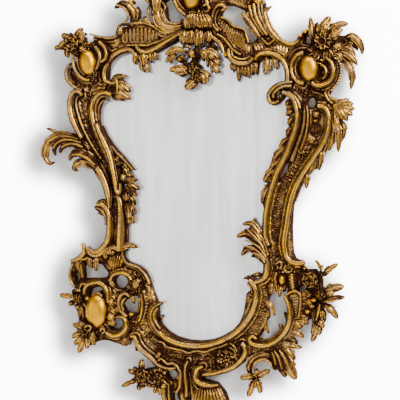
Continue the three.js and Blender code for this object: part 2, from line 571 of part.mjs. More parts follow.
const bottom = () => [
  bead([[-130, -334], [-152, -352], [-163, -380], [-157, -408], [-138, -432], [-110, -453],
    [-80, -467], [-45, -474], [0, -474], [35, -469], [70, -456], [105, -438], [132, -417],
    [152, -395], [168, -370], [180, -340], [185, -310], [181, -288], [164, -262]],
  [10, 17, 15]),
  bead([[-240, -430], [-222, -436], [-214, -450], [-210, -468], [-195, -488], [-172, -506],
    [-150, -524], [-132, -539], [-105, -548], [-76, -544]], [8, 14, 10], BEAD_FRONT),
  ...ridges([[-180, -430], [-125, -482], [-30, -496], [70, -478], [128, -446]],
    [[-190, -470], [-130, -516], [-30, -540], [60, -545], [136, -500]], 9),
  leaf([[-62, -606], [-58, -555], [-33, -520]], 28, RAISED),
  bead([[-64, -580], [-60, -620], [-50, -660], [-40, -700]], [20, 28, 12], RAISED),
  leaf([[-58, -570], [-74, -606], [-90, -633]], 28, BEAD_FRONT),
  bead([[14, -540], [-5, -549], [-14, -565], [-12, -583], [2, -596], [28, -600], [61, -597]],
    [9, 15, 6], BEAD_FRONT),
  bead([[2, -568], [45, -562], [80, -552], [110, -537], [135, -517], [148, -495],
    [150, -476], [140, -456]], [11, 15, 10]),
  star([20, -640], [[62, -600], [97, -650], [98, -680], [76, -701], [46, -708], [14, -709],
    [-16, -705], [-42, -694], [-40, -620], [0, -602]], RAISED),
  bead([[-96, -550], [-112, -600], [-114, -640], [-106, -672], [-82, -692], [-44, -694]],
    [20, 18, 12], BEAD_FRONT),
  star([-138, -590], [[-108, -588], [-126, -550], [-148, -546], [-162, -560], [-164, -612],
    [-142, -636], [-112, -612]], RAISED),
  star([-194, -580], [[-154, -578], [-176, -556], [-196, -523], [-224, -550], [-242, -560],
    [-228, -586], [-265, -614], [-200, -625], [-170, -606]], BLOOM_FRONT),
];

const lowerRight = () => [
  bead([[172, -434], [161, -451], [172, -463], [200, -466], [232, -458], [262, -436],
    [283, -408], [293, -375], [293, -345], [285, -322], [270, -300]], [13, 16, 14], LEAF_FRONT),
  ...ridges([[188, -290], [194, -330], [176, -380], [158, -425]],
    [[214, -296], [218, -340], [212, -390], [190, -435]], 5),
  leaf([[205, -330], [236, -336], [244, -371]], 24, BEAD_FRONT),
  frond([[226, -250], [222, -205], [206, -165], [180, -130], [150, -108], [118, -120]], 36, CURLING),
  frond([[222, -230], [200, -178], [172, -158], [148, -162], [134, -181]], 30, CURLING),
  leaf([[218, -160], [196, -116], [158, -90]], 22, BEAD_FRONT),
  bead([[222, -170], [223, -200], [220, -222], [212, -243], [196, -257], [172, -266]],
    [14, 17, 12], LEAF_FRONT),
  frond([[182, -292], [174, -262], [158, -251], [140, -254]], 17, BEAD_FRONT),
  dome([268, -252], 16, 22, LEAF_FRONT),
  ...ridges([[286, -238], [284, -280]], [[322, -236], [316, -286]], 3, LOW),
  ...ridges([[298, -300], [302, -395]], [[322, -300], [322, -395]], 3, LOW),
  bead([[246, -190], [262, -212], [290, -218], [330, -212]], 13, LOW),
  frond([[176, -574], [160, -528], [174, -511], [200, -503], [226, -509], [240, -526],
    [246, -549]], 20, BEAD_FRONT),
  star([266, -490], [[302, -468], [308, -514], [290, -542], [314, -573], [277, -569], [266, -540],
    [243, -550], [236, -500], [228, -472], [262, -450]], RAISED),
  leaf([[262, -470], [300, -464], [330, -472]], 20, BEAD_FRONT),
  leaf([[284, -438], [304, -450], [317, -460]], 18, LOW),
  leaf([[288, -410], [318, -426], [337, -439]], 24, BEAD_FRONT),
  leaf([[312, -388], [340, -384], [353, -397]], 26, BEAD_FRONT),
  star([184, -568], [[229, -547], [184, -546], [133, -573], [152, -594], [158, -633],
    [180, -606], [200, -621], [208, -580]], BOSS_FRONT),
];

const rightBouquet = () => [
  star([374, -250], [[466, -275], [412, -244], [447, -202], [397, -208], [374, -192],
    [345, -222], [328, -255], [346, -302], [388, -292]], BLOOM_FRONT),
  star([398, -326], [[469, -309], [425, -298], [396, -286], [350, -308], [334, -330],
    [340, -375], [366, -426], [386, -433], [404, -390], [447, -376], [436, -338]], BLOOM_FRONT),
  dome([352, -356], 14, 13, BOSS_FRONT),
  leaf([[386, -350], [382, -416], [363, -453]], 22, PROUD),
];

// The three pieces

function carvedFrame() {
  const openBoard = board(BOARD_EDGE, 0, WEB_FRONT)
    .subtract(board(OPENING, -1, WEB_FRONT + 1))
    .subtract(board(REBATE_EDGE, -1, REBATE_DEPTH));
  const pierced = PIERCINGS.reduce(
    (solid, outline) => solid.subtract(board(outline, -1, WEB_FRONT + 1)), openBoard);
  const carving = [
    ...upperLeftCorner(), ...upperLeftClutch(), ...topLeftShell(), ...leftColumn(), ...crest(),
    ...hangingFlowers(), ...topRightBand(), ...upperRightCorner(), ...rightUpright(),
    ...leftUpright(), ...lowerLeft(), ...bottom(), ...lowerRight(), ...rightBouquet(),
  ];
  return carving.reduce((solid, form) => solid.add(form), pierced);
}

function plate(back, front) {
  return board(grown(REBATE_EDGE, -2 * FIT), back, front);
}

const giltWood = new THREE.MeshStandardMaterial({ color: 0xa9782c, roughness: 0.38, metalness: 0.75 });
const silvering = new THREE.MeshStandardMaterial({ color: 0xd8dadb, roughness: 0.06, metalness: 1 });
const bareWood = new THREE.MeshStandardMaterial({ color: 0x6d4a2c, roughness: 0.85, metalness: 0 });

function piece(name, manifold, material) {
  const mesh = new THREE.Mesh(toGeometry(manifold), material);
  mesh.name = name;
  return mesh;
}

const glassBack = BOARD_THICKNESS + FIT;
const mirror = new THREE.Group();
mirror.add(piece('carved_frame', carvedFrame(), giltWood));
mirror.add(piece('mirror_glass', plate(glassBack, glassBack + GLASS_THICKNESS), silvering));
mirror.add(piece('backboard', plate(0, BOARD_THICKNESS), bareWood));

export default mirror;
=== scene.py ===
# %% [markdown]
# # A rococo wall mirror in Blender
# This file dresses one carved and gilded mirror. The solids were made first, in
# millimetres, with the wall as the plane y = 0 and the viewer on the -Y side. Here each
# of them either gets a finish or is replaced by finely carved pieces in the same place.
# A point of the carving is written as (x, z) on the wall's plane, in millimetres, and a
# "front" is how far a form stands out from the wall.

import math

import bmesh
import bpy
import numpy as np
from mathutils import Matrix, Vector, kdtree, noise


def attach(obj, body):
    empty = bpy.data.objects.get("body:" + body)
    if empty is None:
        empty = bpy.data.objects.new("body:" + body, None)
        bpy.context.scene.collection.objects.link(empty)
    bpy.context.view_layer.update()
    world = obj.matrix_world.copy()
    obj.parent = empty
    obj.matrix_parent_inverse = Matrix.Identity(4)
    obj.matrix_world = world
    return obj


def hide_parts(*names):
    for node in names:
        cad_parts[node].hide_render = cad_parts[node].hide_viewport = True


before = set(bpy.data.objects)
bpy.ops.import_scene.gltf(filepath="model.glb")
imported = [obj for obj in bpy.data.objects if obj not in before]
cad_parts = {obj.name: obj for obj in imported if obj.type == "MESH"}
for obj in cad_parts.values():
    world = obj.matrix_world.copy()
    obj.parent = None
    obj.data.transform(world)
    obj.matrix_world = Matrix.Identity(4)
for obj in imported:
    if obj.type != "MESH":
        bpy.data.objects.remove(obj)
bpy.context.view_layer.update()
MM = 0.001
print("solids:", sorted(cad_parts))


# %% [markdown]
# The photograph looks at the mirror from a little to its right, level with its middle.
# A long lens from 3.8 m keeps the far side almost as large as the near side, as it is
# in the picture, so the camera is set from that distance and angle.

# %% Camera
VIEW_DISTANCE = 3.8
VIEW_ANGLE = math.radians(12.0)
AIM_DEPTH = -0.040
MM_PER_PIXEL = 3.25
PICTURE_SIDE = 400
SENSOR = 36.0


def new_object(name, data):
    thing = bpy.data.objects.new(name, data)
    bpy.context.scene.collection.objects.link(thing)
    return thing


camera = new_object("photo_camera", bpy.data.cameras.new("photo_camera"))
camera.data.sensor_width = SENSOR
camera.data.lens = SENSOR * VIEW_DISTANCE / (MM_PER_PIXEL * MM * PICTURE_SIDE)
camera.location = (
    VIEW_DISTANCE * math.sin(VIEW_ANGLE),
    AIM_DEPTH - VIEW_DISTANCE * math.cos(VIEW_ANGLE),
    0.0,
)
camera.rotation_euler = (math.pi / 2, 0.0, VIEW_ANGLE)
bpy.context.scene.camera = camera
print("lens", round(camera.data.lens, 2), "mm")


# %% [markdown]
# A mirror hangs, so its studio is a white wall and a pale floor well below it. The wall
# comes last, because the painted shade on it follows the carving. The light comes from
# large soft lamps, and the strongest stands to the right; the soft shade to the left of
# the frame is painted on the wall. A pale card stands behind the camera and glows
# softly, where the glass reflects it.

# %% Floor, card and lamps
WALL_HALF = 4.0
FLOOR_HEIGHT = -1.25
CARD_DEPTH = -6.0
CARD_GLOW = 1.38
AIR_COLOR = (1.0, 0.97, 0.93, 1.0)
AIR_LIGHT = 0.38


def stage_piece(name, corners, faces, finish):
    mesh = bpy.data.meshes.new(name)
    mesh.from_pydata(corners, [], faces)
    mesh.materials.append(finish)
    new_object(name, mesh)
    return mesh


def plain_finish(name, color, roughness, glow=0.0, tint=(1.0, 1.0, 1.0)):
    material = bpy.data.materials.new(name)
    material.use_nodes = True
    given = {"Base Color": (*color, 1.0), "Roughness": roughness,
             "Emission Color": (*tint, 1.0), "Emission Strength": glow}
    for socket, value in given.items():
        material.node_tree.nodes["Principled BSDF"].inputs[socket].default_value = value
    return material


def lamp(name, place, width, height, power, target=(0.0, 0.0, 0.0)):
    data = bpy.data.lights.new(name, "AREA")
    data.shape = "RECTANGLE"
    data.size, data.size_y, data.energy = width, height, power
    thing = new_object(name, data)
    thing.location = place
    aim = Vector(target) - Vector(place)
    thing.rotation_euler = aim.to_track_quat("-Z", "Y").to_euler()


stage_piece("studio_floor", [(x, y, FLOOR_HEIGHT) for x, y in (
    (-WALL_HALF, -2 * WALL_HALF), (WALL_HALF, -2 * WALL_HALF),
    (WALL_HALF, WALL_HALF), (-WALL_HALF, WALL_HALF))],
    [(0, 1, 2, 3)], plain_finish("pale_floor", (0.86, 0.85, 0.83), 0.7))
stage_piece("pale_card", [(x, CARD_DEPTH, z) for x, z in (
    (-2.4, -1.2), (-2.4, 1.7), (-0.3, 1.7), (-0.3, -1.2))],
    [(0, 1, 2, 3)], plain_finish("card_paper", (0.8, 0.8, 0.8), 0.9, CARD_GLOW, (1.0, 0.99, 0.98)))

lamp("key_right", (2.4, -1.9, 1.7), width=1.5, height=1.9, power=152)
lamp("fill_left", (-2.6, -2.4, 0.3), width=0.9, height=1.8, power=22)
lamp("top_strip", (0.2, -0.9, 2.2), width=1.8, height=0.4, power=34, target=(0.0, 0.0, 0.2))
lamp("back_soft", (-1.5, 2.5, 1.6), width=2.0, height=2.0, power=70)

world = bpy.data.worlds.new("studio_air")
bpy.context.scene.world = world
world.use_nodes = True
air = world.node_tree.nodes["Background"].inputs
air["Color"].default_value, air["Strength"].default_value = AIR_COLOR, AIR_LIGHT
print("stage: floor, card and", len(bpy.data.lights), "lamps")


# %% [markdown]
# Everything on the frame is carved along lines: a moulding runs along one, a leaf grows
# along one. So the first tools draw a smooth line through a few points. The strokes are
# many, so a line's points are written as short text, pair after pair, as drawing
# programs do. A stroke's width and front may change from its start to its end.

# %% Lines
LINE_STEP = 4.8
FINE = 24  # points on the first, fine line, for each point given


def spots(given):
    """Points of a line. Written as text they are pairs, "x,z x,z x,z"."""
    if isinstance(given, str):
        return [tuple(float(number) for number in pair.split(",")) for pair in given.split()]
    return given


def run_of(line):
    """How far along a line each of its points lies."""
    return np.concatenate([[0], np.cumsum(np.linalg.norm(np.diff(line, axis=0), axis=1))])


def taken_at(where, run, line):
    """The points of a line at other places along it."""
    return np.stack([np.interp(where, run, line[:, i]) for i in (0, 1)], axis=1)


def smooth(points, step=LINE_STEP):
    """Even points along a smooth line through the given ones."""
    p = np.asarray(spots(points), float)
    chord = np.maximum(np.linalg.norm(np.diff(p, axis=0), axis=1), 1e-6)
    knots = np.concatenate([[0], np.cumsum(np.sqrt(chord))])
    if len(p) > 2:
        slopes = np.gradient(p, knots, axis=0)
    else:
        slopes = np.tile((p[1] - p[0]) / knots[1], (2, 1))
    t = np.linspace(0, knots[-1], FINE * len(p))
    k = np.clip(np.searchsorted(knots, t, side="right") - 1, 0, len(p) - 2)
    span = (knots[k + 1] - knots[k])[:, None]
    u = ((t - knots[k])[:, None]) / span
    line = ((2 * u**3 - 3 * u**2 + 1) * p[k] + (u**3 - 2 * u**2 + u) * span * slopes[k]
            + (3 * u**2 - 2 * u**3) * p[k + 1] + (u**3 - u**2) * span * slopes[k + 1])
    run = run_of(line)
    count = max(3, int(round(run[-1] / step)) + 1)
    return taken_at(np.linspace(0, run[-1], count), run, line)


def across(line):
    """Unit vectors at right angles to a line, in the wall's plane."""
    run = np.gradient(line, axis=0)
    run /= np.maximum(np.linalg.norm(run, axis=1), 1e-6)[:, None]
    return np.stack([-run[:, 1], run[:, 0]], axis=1)


def along(value, t):
    """One number, or a list of them spread evenly from start to end."""
    if np.isscalar(value):
        return np.full_like(t, float(value))
    return np.interp(t, np.linspace(0, 1, len(value)), value)


def stroke(points, width, front):
    line = smooth(points)
    t = np.linspace(0, 1, len(line))
    return line, along(width, t), along(front, t)


def place(line, depth):
    """Points of the wall's plane with a depth become points in space."""
    return np.stack([line[..., 0], -depth, line[..., 1]], axis=-1)


print("a line of 50 mm has", len(smooth("0,0 25,0 50,0")), "points")


# %% [markdown]
# Leaves, petals and bosses are closed shells: a skin stretched over a row of rings set
# along a line. Each sinks into the wood behind it, as a carver's applied leaf is glued
# to its ground. A shell also keeps its "lift" at each point, from 0 in a gutter to 1 on
# a crest. The gold wears first where a form stands up, and the lift also paints light
# and shade into it: the gutters are painted darker, as shade, and the crests brighter,
# as a highlight.

# %% Lofted forms
def keep(mesh, name, values, kind="FLOAT"):
    """Keep one value for each point of a mesh, under a name."""
    layer = mesh.attributes.new(name, kind, "POINT")
    slot = "vector" if kind == "FLOAT_VECTOR" else "value"
    layer.data.foreach_set(slot, np.asarray(values, np.float32).ravel())


def soften(mesh):
    mesh.polygons.foreach_set("use_smooth", np.ones(len(mesh.polygons), bool))


class Carving:
    """The closed forms that one piece is made of."""

    def __init__(self):
        self.points, self.lifts, self.faces = [], [], []
        self.count = 0

    def loft(self, rings, lift):
        """Skin a row of rings, (rows, around, xyz) in millimetres, and close both ends."""
        rows, around = rings.shape[:2]
        ends = np.stack([rings[0].mean(axis=0), rings[-1].mean(axis=0)])
        points = np.concatenate([rings.reshape(-1, 3), ends])
        k = np.arange(around)
        after = (k + 1) % around
        first = (np.arange(rows - 1) * around)[:, None]
        a, b = (first + k).ravel(), (first + after).ravel()
        sides = np.stack([a, b, b + around, a + around], axis=1)
        last = (rows - 1) * around
        near_fan = np.stack([np.full(around, rows * around), after, k], axis=1)
        far_fan = np.stack([np.full(around, rows * around + 1), last + k, last + after], axis=1)
        tri = np.concatenate([sides[:, [0, 1, 2]], sides[:, [0, 2, 3]], near_fan, far_fan])
        p = points - points.mean(axis=0)
        volume = np.einsum("ij,ij->i", p[tri[:, 0]], np.cross(p[tri[:, 1]], p[tri[:, 2]])).sum()
        for skin in (sides, near_fan, far_fan):
            outwards = skin[:, ::-1] if volume < 0 else skin
            self.faces += (outwards + self.count).tolist()
        lifts = np.broadcast_to(lift, (rows, around)).ravel()
        self.points.append(points)
        self.lifts += [lifts, [lifts[:around].mean(), lifts[-around:].mean()]]
        self.count += len(points)

    def piece(self, name):
        mesh = bpy.data.meshes.new(name)
        mesh.from_pydata((np.concatenate(self.points) * MM).tolist(), [], self.faces)
        soften(mesh)
        keep(mesh, "lift", np.concatenate(self.lifts))
        return new_object(name, mesh)


leaves, blooms, bosses, shells = Carving(), Carving(), Carving(), Carving()
print("four carvings to fill")


# %% [markdown]
# A form's front says how far it stands out. A few fronts serve the whole frame, from the
# flat ground to the eyes of the big flowers, so that one layer always lies over another.
#
# The gilded beads are the lines that the eye follows first. On the real frame each is
# a half round with a thin fillet on both sides. Geometry Nodes fit that well, so here
# the beads are only noted as paths. Two small things repeat hundreds of times: the
# pearls that run beside some beads, and the curled flecks that fill the busiest places.
# They are noted too, as paths and as patches.

# %% Fronts, and the notes for what repeats
WEB_FRONT = 24
CARVING_BACK = 14
RIB_FRONT = 34
LOW = 39
BEAD_FRONT = 44
LEAF_FRONT = 46
RAISED = 51
PROUD = 56
BOSS_FRONT = 61
BLOOM_FRONT = 70
FRONTS = {"low": LOW, "bead": BEAD_FRONT, "leaf": LEAF_FRONT, "raised": RAISED,
          "proud": PROUD, "boss": BOSS_FRONT, "bloom": BLOOM_FRONT}
bead_paths, pearl_paths, fleck_patches = [], [], []


def bead(points, width, front=BEAD_FRONT):
    bead_paths.append(stroke(points, width, front))


def pearls(points, size, front):
    pearl_paths.append(stroke(points, size, front))


def flecks(outline, size, front):
    fleck_patches.append((spots(outline), size, front))


print("fronts from", WEB_FRONT, "to", BLOOM_FRONT, "mm")


# %% [markdown]
# A carved leaf has a rib down its middle, a gutter on each side of it, a raised rim and
# an edge cut into lobes. That section is swept along the leaf's line while its width
# swells and closes to a point, and its front rises and dips, so the leaf seems to curl.
# Many small leaves grow side by side, so a bunch of them is written as one text.

# %% Leaves
LEAF_SECTION = np.array([
    (-1.00, 0.45), (-0.86, 0.84), (-0.54, 0.72), (-0.20, 0.84), (0.00, 1.00), (0.20, 0.84),
    (0.54, 0.72), (0.86, 0.84), (1.00, 0.45), (0.70, 0.02), (0.00, -0.10), (-0.70, 0.02)])
LEAF_STEP = 3.0
LEAF_THICKNESS = 22
FULLER = 1.4
LOBE_CUT = 0.28
TIP_DIP, TIP_START, TIP_RUN = 7, 0.55, 0.45
ROOT_DIP, ROOT_RUN = 5, 0.3
NARROW = 6
CURLING = [40, 54, 45]


def swept(line, half, back, crest, section, flatness=None):
    """A section carried along a line, (rows, around, xyz)."""
    side = line[:, None, :] + across(line)[:, None, :] * (half * section[:, 0])[..., None]
    rise = section[:, 1][None, :] * (1.0 if flatness is None else flatness)
    return place(side, back[:, None] + (crest - back)[:, None] * rise)


def leaf(points, width, front=LEAF_FRONT, lobes=2, into=leaves, root=0.5, blunt=3.6):
    line = smooth(points, LEAF_STEP)
    t = np.linspace(0, 1, len(line))
    swell = np.minimum(1, root + 1.6 * t) * (1 - t**blunt) ** 0.7
    cut = (t * lobes) % 1.0 if lobes else np.ones_like(t)
    swell = swell * (1 - LOBE_CUT + LOBE_CUT * cut)
    crest = along(front, t) - TIP_DIP * np.maximum(0, t - TIP_START) / TIP_RUN
    crest = crest - ROOT_DIP * np.maximum(0, ROOT_RUN - t) / ROOT_RUN
    back = np.maximum(CARVING_BACK, crest - LEAF_THICKNESS)
    half = (along(width, t) / 2 * FULLER * swell)[:, None]
    flatness = 0.75 + 0.25 * np.minimum(1, half / NARROW)
    into.loft(swept(line, half, back, crest, LEAF_SECTION, flatness), LEAF_SECTION[:, 1])


def frond(points, width, front=CURLING):
    leaf(points, width, front, lobes=5)


def bunch(text, bend, lobes, front=None, **shape):
    """Short leaves, each "root tip width front", with their middles moved by the bend.
    Where one front is given, it serves them all."""
    words = text.split()
    for k in range(0, len(words), 3 if front else 4):
        root, tip = spots(" ".join(words[k:k + 2]))
        middle = [(root[i] + tip[i]) / 2 + bend[i] for i in (0, 1)]
        out = front or FRONTS[words[k + 3]]
        leaf([root, middle, tip], float(words[k + 2]), out, lobes, **shape)


print("a leaf's section has", len(LEAF_SECTION), "points")


# %% [markdown]
# A flower is two rings of blunt, cupped petals round a dark eye, the inner ring smaller
# and higher. A star is a flower on a wheel of leaves. Eyes and bosses are both ovals of
# rings. The bosses are the only quiet places on the frame: smooth ovals, burnished
# bright, that rise quickly at the edge and then flatten, so a lamp leaves one broad
# highlight on them.

# %% Flowers and bosses
PETAL_SECTION = np.array([
    (-1.00, 0.55), (-0.86, 1.00), (-0.55, 0.80), (0.00, 0.62), (0.55, 0.80), (0.86, 1.00),
    (1.00, 0.55), (0.60, 0.10), (0.00, 0.00), (-0.60, 0.10)])
PETAL_STEP = 2.5
PETAL_THICKNESS = 18
PETAL_DIP = 7
EYE_SIDES = 14
# Below zero, the eye's lift paints its hollow darker than the gold around: painted shade.
EYE_RINGS = [(1.0, -14, 0.3), (1.0, -5, 0.5), (0.93, -2, 0.7), (0.84, -3, 0.2),
             (0.76, -12, -1.5), (0.2, -20, -1.5)]  # share of the radius, depth, lift
BOSS_RINGS = 14
BOSS_SIDES = 44
BOSS_FOOT = CARVING_BACK + 8


def petal(root, tip, width, front):
    """A blunt cupped petal: its rim stands up and its middle dips towards the eye."""
    line = smooth([root, (np.asarray(root) + tip) / 2, tip], PETAL_STEP)
    t = np.linspace(0, 1, len(line))
    swell = np.sin(np.pi * np.clip(0.12 + 0.82 * t, 0, 1)) ** 0.55
    crest = front - PETAL_DIP + PETAL_DIP * np.sin(np.pi * t * 0.62)
    back = np.maximum(CARVING_BACK, crest - PETAL_THICKNESS)
    half = (width / 2 * swell)[:, None]
    blooms.loft(swept(line, half, back, crest, PETAL_SECTION), PETAL_SECTION[:, 1])


def rings_of(centre, rx, rz, levels, count, tilt=0.0):
    """Oval rings, one for each (share of the radius, depth)."""
    a = np.linspace(0, 2 * math.pi, count, endpoint=False)
    rows = []
    for share, depth in levels:
        u, v = rx * share * np.cos(a), rz * share * np.sin(a)
        x = centre[0] + u * math.cos(tilt) - v * math.sin(tilt)
        z = centre[1] + u * math.sin(tilt) + v * math.cos(tilt)
        rows.append(np.stack([x, np.full(count, -float(depth)), z], axis=1))
    return np.array(rows)


def eye(centre, radius, front):
    levels = [(share, front + depth) for share, depth, _ in EYE_RINGS]
    lift = np.array([lift for _, _, lift in EYE_RINGS])[:, None]
    blooms.loft(rings_of(centre, radius, radius, levels, EYE_SIDES), lift)


def flower(centre, radius, front, petals=6, turn=0.0):
    c = np.asarray(centre, float)
    for share, rise, start, count in ((1.0, -5, 0.0, petals), (0.62, 0, 0.5, petals - 1)):
        for k in range(count):
            a = 2 * math.pi * (k + start) / count + turn
            out = np.array([math.cos(a), math.sin(a)]) * radius * share
            petal(c + out * 0.15, c + out, radius * share * 1.15, front + rise)
    eye(centre, radius * 0.27, front + 1)


def star(centre, tips, front):
    c = np.asarray(centre, float)
    tips = np.asarray(spots(tips), float)
    reach = np.linalg.norm(tips - c, axis=1)
    for k, tip in enumerate(tips):
        to_next = np.linalg.norm(tips[(k + 1) % len(tips)] - tip)
        to_last = np.linalg.norm(tips[k - 1] - tip)
        width = np.clip(0.8 * (to_next + to_last), 18, 40)
        turn = np.array([-(tip - c)[1], (tip - c)[0]]) * 0.10 * (-1) ** k
        middle = c + (tip - c) * 0.55 + turn
        leaf([c + (tip - c) * 0.08, middle, tip], width, [front - 8, front - 6, front - 14],
             into=blooms, root=0.4, blunt=4.5)
    flower(centre, 0.45 * np.median(reach), front - 1, turn=0.3 + 0.7 * (c[0] % 3))


def dome(centre, rx, rz, front, tilt=0.0):
    levels = [(1.0, CARVING_BACK)]
    for share in np.linspace(1, 0.06, BOSS_RINGS):
        levels.append((share, BOSS_FOOT + (front - BOSS_FOOT) * (1 - share**3.0) ** 0.6))
    bosses.loft(rings_of(centre, rx, rz, levels, BOSS_SIDES, tilt), 0.8)


print("a boss has", (BOSS_RINGS + 1) * BOSS_SIDES, "points")


# %% [markdown]
# Between the beads the wood is hollowed and ribbed like a shell. The hollow is a strip
# that sags between two edge lines. The ribs across it repeat, so Geometry Nodes set one
# small rounded ridge on each of a row of points, turned and stretched by what the point
# carries: its span from edge to edge.

# %% Shellwork
rib_marks = []
SHELL_ACROSS = 9
SHELL_SAG = 9
SHELL_STEP = 4
RIB_PITCH = 9.0
EDGE_POINTS = 400


def ridges(edge_a, edge_b, pitch=RIB_PITCH, front=RIB_FRONT):
    a, b = (taken_at(np.linspace(0, 1, EDGE_POINTS), np.linspace(0, 1, len(edge)), edge)
            for edge in (smooth(edge_a, 1.0), smooth(edge_b, 1.0)))
    length = np.linalg.norm(np.diff((a + b) / 2, axis=0), axis=1).sum()
    rows = max(6, int(length / SHELL_STEP))
    pick = np.linspace(0, EDGE_POINTS - 1, rows).astype(int)
    s = np.linspace(0, 1, SHELL_ACROSS)
    line = a[pick][:, None, :] * (1 - s)[None, :, None] + b[pick][:, None, :] * s[None, :, None]
    top = place(line, np.tile(front - 1 - SHELL_SAG * np.sin(np.pi * s), (rows, 1)))
    foot = place(line[:, [-1, 0]], np.full((rows, 2), CARVING_BACK))
    # The middle of the hollow gets a low lift, so its gold is painted darker: painted shade.
    lift = np.concatenate([np.abs(2 * s - 1) ** 2 * 0.8, [0.2, 0.2]])
    shells.loft(np.concatenate([top, foot], axis=1), lift)
    marks = max(3, int(length / pitch))
    for k in ((np.arange(marks) + 0.5) / marks * (EDGE_POINTS - 1)).astype(int):
        rib_marks.append((*a[k], *b[k], front, length / marks))


print("a hollow has", SHELL_ACROSS + 2, "points across")


# %% [markdown]
# Now the carving itself, region by region and from the upper left to the lower right. A
# region starts with its bosses and beads, which lead the eye, and goes on with the leaves
# and flowers that grow from them.

# %% A word after each region
def made(region):
    """Say how far the carving has come."""
    shapes = sum(len(carving.points) for carving in (leaves, blooms, bosses, shells))
    print(region, "done:", len(bead_paths), "beads and", shapes, "other forms so far")


# %% Upper left corner
# A boss with its rims, and the dark flower beside it
dome([-381, 456], 34, 50, BOSS_FRONT, 0.1)
bead("-428,480 -428,456 -420,430 -405,409 -386,398 -370,398", [6, 9, 7], PROUD)
bead("-416,474 -413,450 -404,428 -390,414", 4, RAISED)
bead("-338,522 -322,506 -314,485 -318,466 -334,455", [6, 8, 7], PROUD)
bead("-354,508 -342,492 -337,472 -341,452 -350,432", [7, 12, 7], RAISED)
bead("-326,516 -310,502 -300,492 -280,500", [4, 8, 4], LEAF_FRONT)
bead("-428,456 -445,449 -456,430 -455,410 -443,390 -424,374 -402,364", [6, 10, 7])
bead("-440,434 -446,420 -440,402 -428,388", 4, LOW)
bead("-376,552 -352,543 -325,536 -298,536 -282,543", [4, 9, 7], LOW)
bead("-360,534 -340,527 -315,522 -290,524", [4, 7, 5], LOW)
bead("-336,392 -344,408 -342,428", [4, 7, 4], LOW)
bead("-304,386 -322,396 -325,420 -318,445 -305,468 -285,485 -262,494 -240,496 -225,487 -217,472",
     [12, 17, 10])
leaf("-425,534 -412,554 -399,572", 20, PROUD, 1)
leaf("-416,532 -400,546 -384,553", 18, PROUD, 1)
leaf("-434,530 -438,546 -446,556", 18, PROUD, 1)
leaf("-436,528 -454,544 -472,547", 24, BOSS_FRONT, 2)
leaf("-440,520 -460,521 -479,511", 20, BOSS_FRONT, 1)
leaf("-444,508 -474,509 -488,509 -498,502", 13, RAISED, 0, root=0.8, blunt=8)
leaf("-436,508 -450,494 -452,475", 22, PROUD, 2)
leaf("-408,516 -402,530 -393,546", 14, PROUD, 1)
leaf("-412,510 -398,500 -380,492", 16, PROUD, 2)
leaf("-404,520 -390,516 -374,520", 12, RAISED, 1)
flower([-436, 522], 27, BLOOM_FRONT - 4, 6, 0.4)
flower([-424, 490], 13, PROUD, 5, 0.9)
dome([-374, 519], 8, 7, RAISED)
flecks("-414,512 -394,518 -360,520 -352,508 -372,500 -400,486 -412,494", 9, RAISED)
flecks("-376,428 -362,436 -346,424 -344,400 -366,394 -380,410", 9, RAISED)
flecks("-452,440 -436,448 -430,420 -412,392 -424,384 -444,400", 6, RIB_FRONT)
made("Upper left corner")


# %% Leaf clutch
# Leaves that reach over the glass, below the upper left corner
bead("-362,352 -332,357 -308,350", [8, 14, 8], LEAF_FRONT)
bead("-318,393 -300,386 -284,390 -277,404", [7, 11, 5], LEAF_FRONT)
bead("-280,396 -277,374 -277,350", 5, RAISED)
leaf("-300,390 -275,403 -249,412", 18, LEAF_FRONT, 2)
leaf("-302,394 -286,409 -263,416", 14, LOW, 1)
leaf("-288,380 -268,392 -256,388", 20, LEAF_FRONT, 1)
leaf("-286,374 -258,374 -237,357", 28, RAISED, 2)
leaf("-288,358 -262,350 -237,333", 26, RAISED, 2)
leaf("-292,350 -272,338 -257,331", 18, LEAF_FRONT, 1)
leaf("-300,350 -290,338 -284,329", 13, LOW, 1)
eye([-297, 367], 14, LEAF_FRONT)
made("Leaf clutch")


# %% Crest, left part
# Horn, shell, leafy column and the long S bead
frond("-232,572 -222,600 -226,622 -244,640 -268,647 -292,635", 30, CURLING)
bead("-250,580 -240,600 -244,620 -260,635 -282,641", [5, 6, 4], PROUD)
leaf("-214,590 -208,612 -214,640", 16, LOW, 3)
dome([-234, 653], 13, 9, RAISED)
leaf("-272,544 -269,558 -276,575", 12, RAISED, 0)
bead("-284,542 -280,560 -272,576 -250,580 -236,574", [5, 6, 5], LOW)
flecks("-244,574 -228,600 -212,600 -206,580 -222,572", 10, LEAF_FRONT)
ridges("-270,568 -240,572 -205,576 -175,571 -142,556", "-264,522 -240,514 -205,511 -170,512 "
       "-140,520", 12, LOW)
bead("-246,509 -215,509 -180,507 -158,513 -138,521", [4, 6, 4], LEAF_FRONT)
bead("-262,574 -225,581 -185,580 -158,570 -140,556", [4, 7, 5], LEAF_FRONT)
leaf("-270,524 -292,512 -318,520", 26, LOW, 0)
bead("-213,506 -203,492 -185,486 -163,491 -130,508 -100,524 -72,539 -52,546", [7, 14, 14, 10],
     RAISED)
bead("-150,512 -120,527 -90,540 -60,551", [4, 6, 5], LEAF_FRONT)
leaf("-150,572 -130,552 -96,548 -56,556", 26, LEAF_FRONT, 0, blunt=8)
leaf("-143,655 -143,620 -135,586 -112,566 -50,570", 34, RAISED, 4)
leaf("-144,690 -143,650 -143,606", 24, PROUD, 0)
bead("-184,660 -168,642 -174,622 -168,606 -152,594", [4, 6, 4], LEAF_FRONT)
bead("-130,650 -116,632 -121,610 -113,590 -98,577 -76,575 -54,588", [5, 6, 5], LEAF_FRONT)
leaf("-186,604 -178,586 -158,574", 12, RAISED, 2)
leaf("-204,598 -196,582 -186,572", 12, LEAF_FRONT, 1)
flecks("-196,604 -172,584 -160,574 -196,580", 8, LEAF_FRONT)
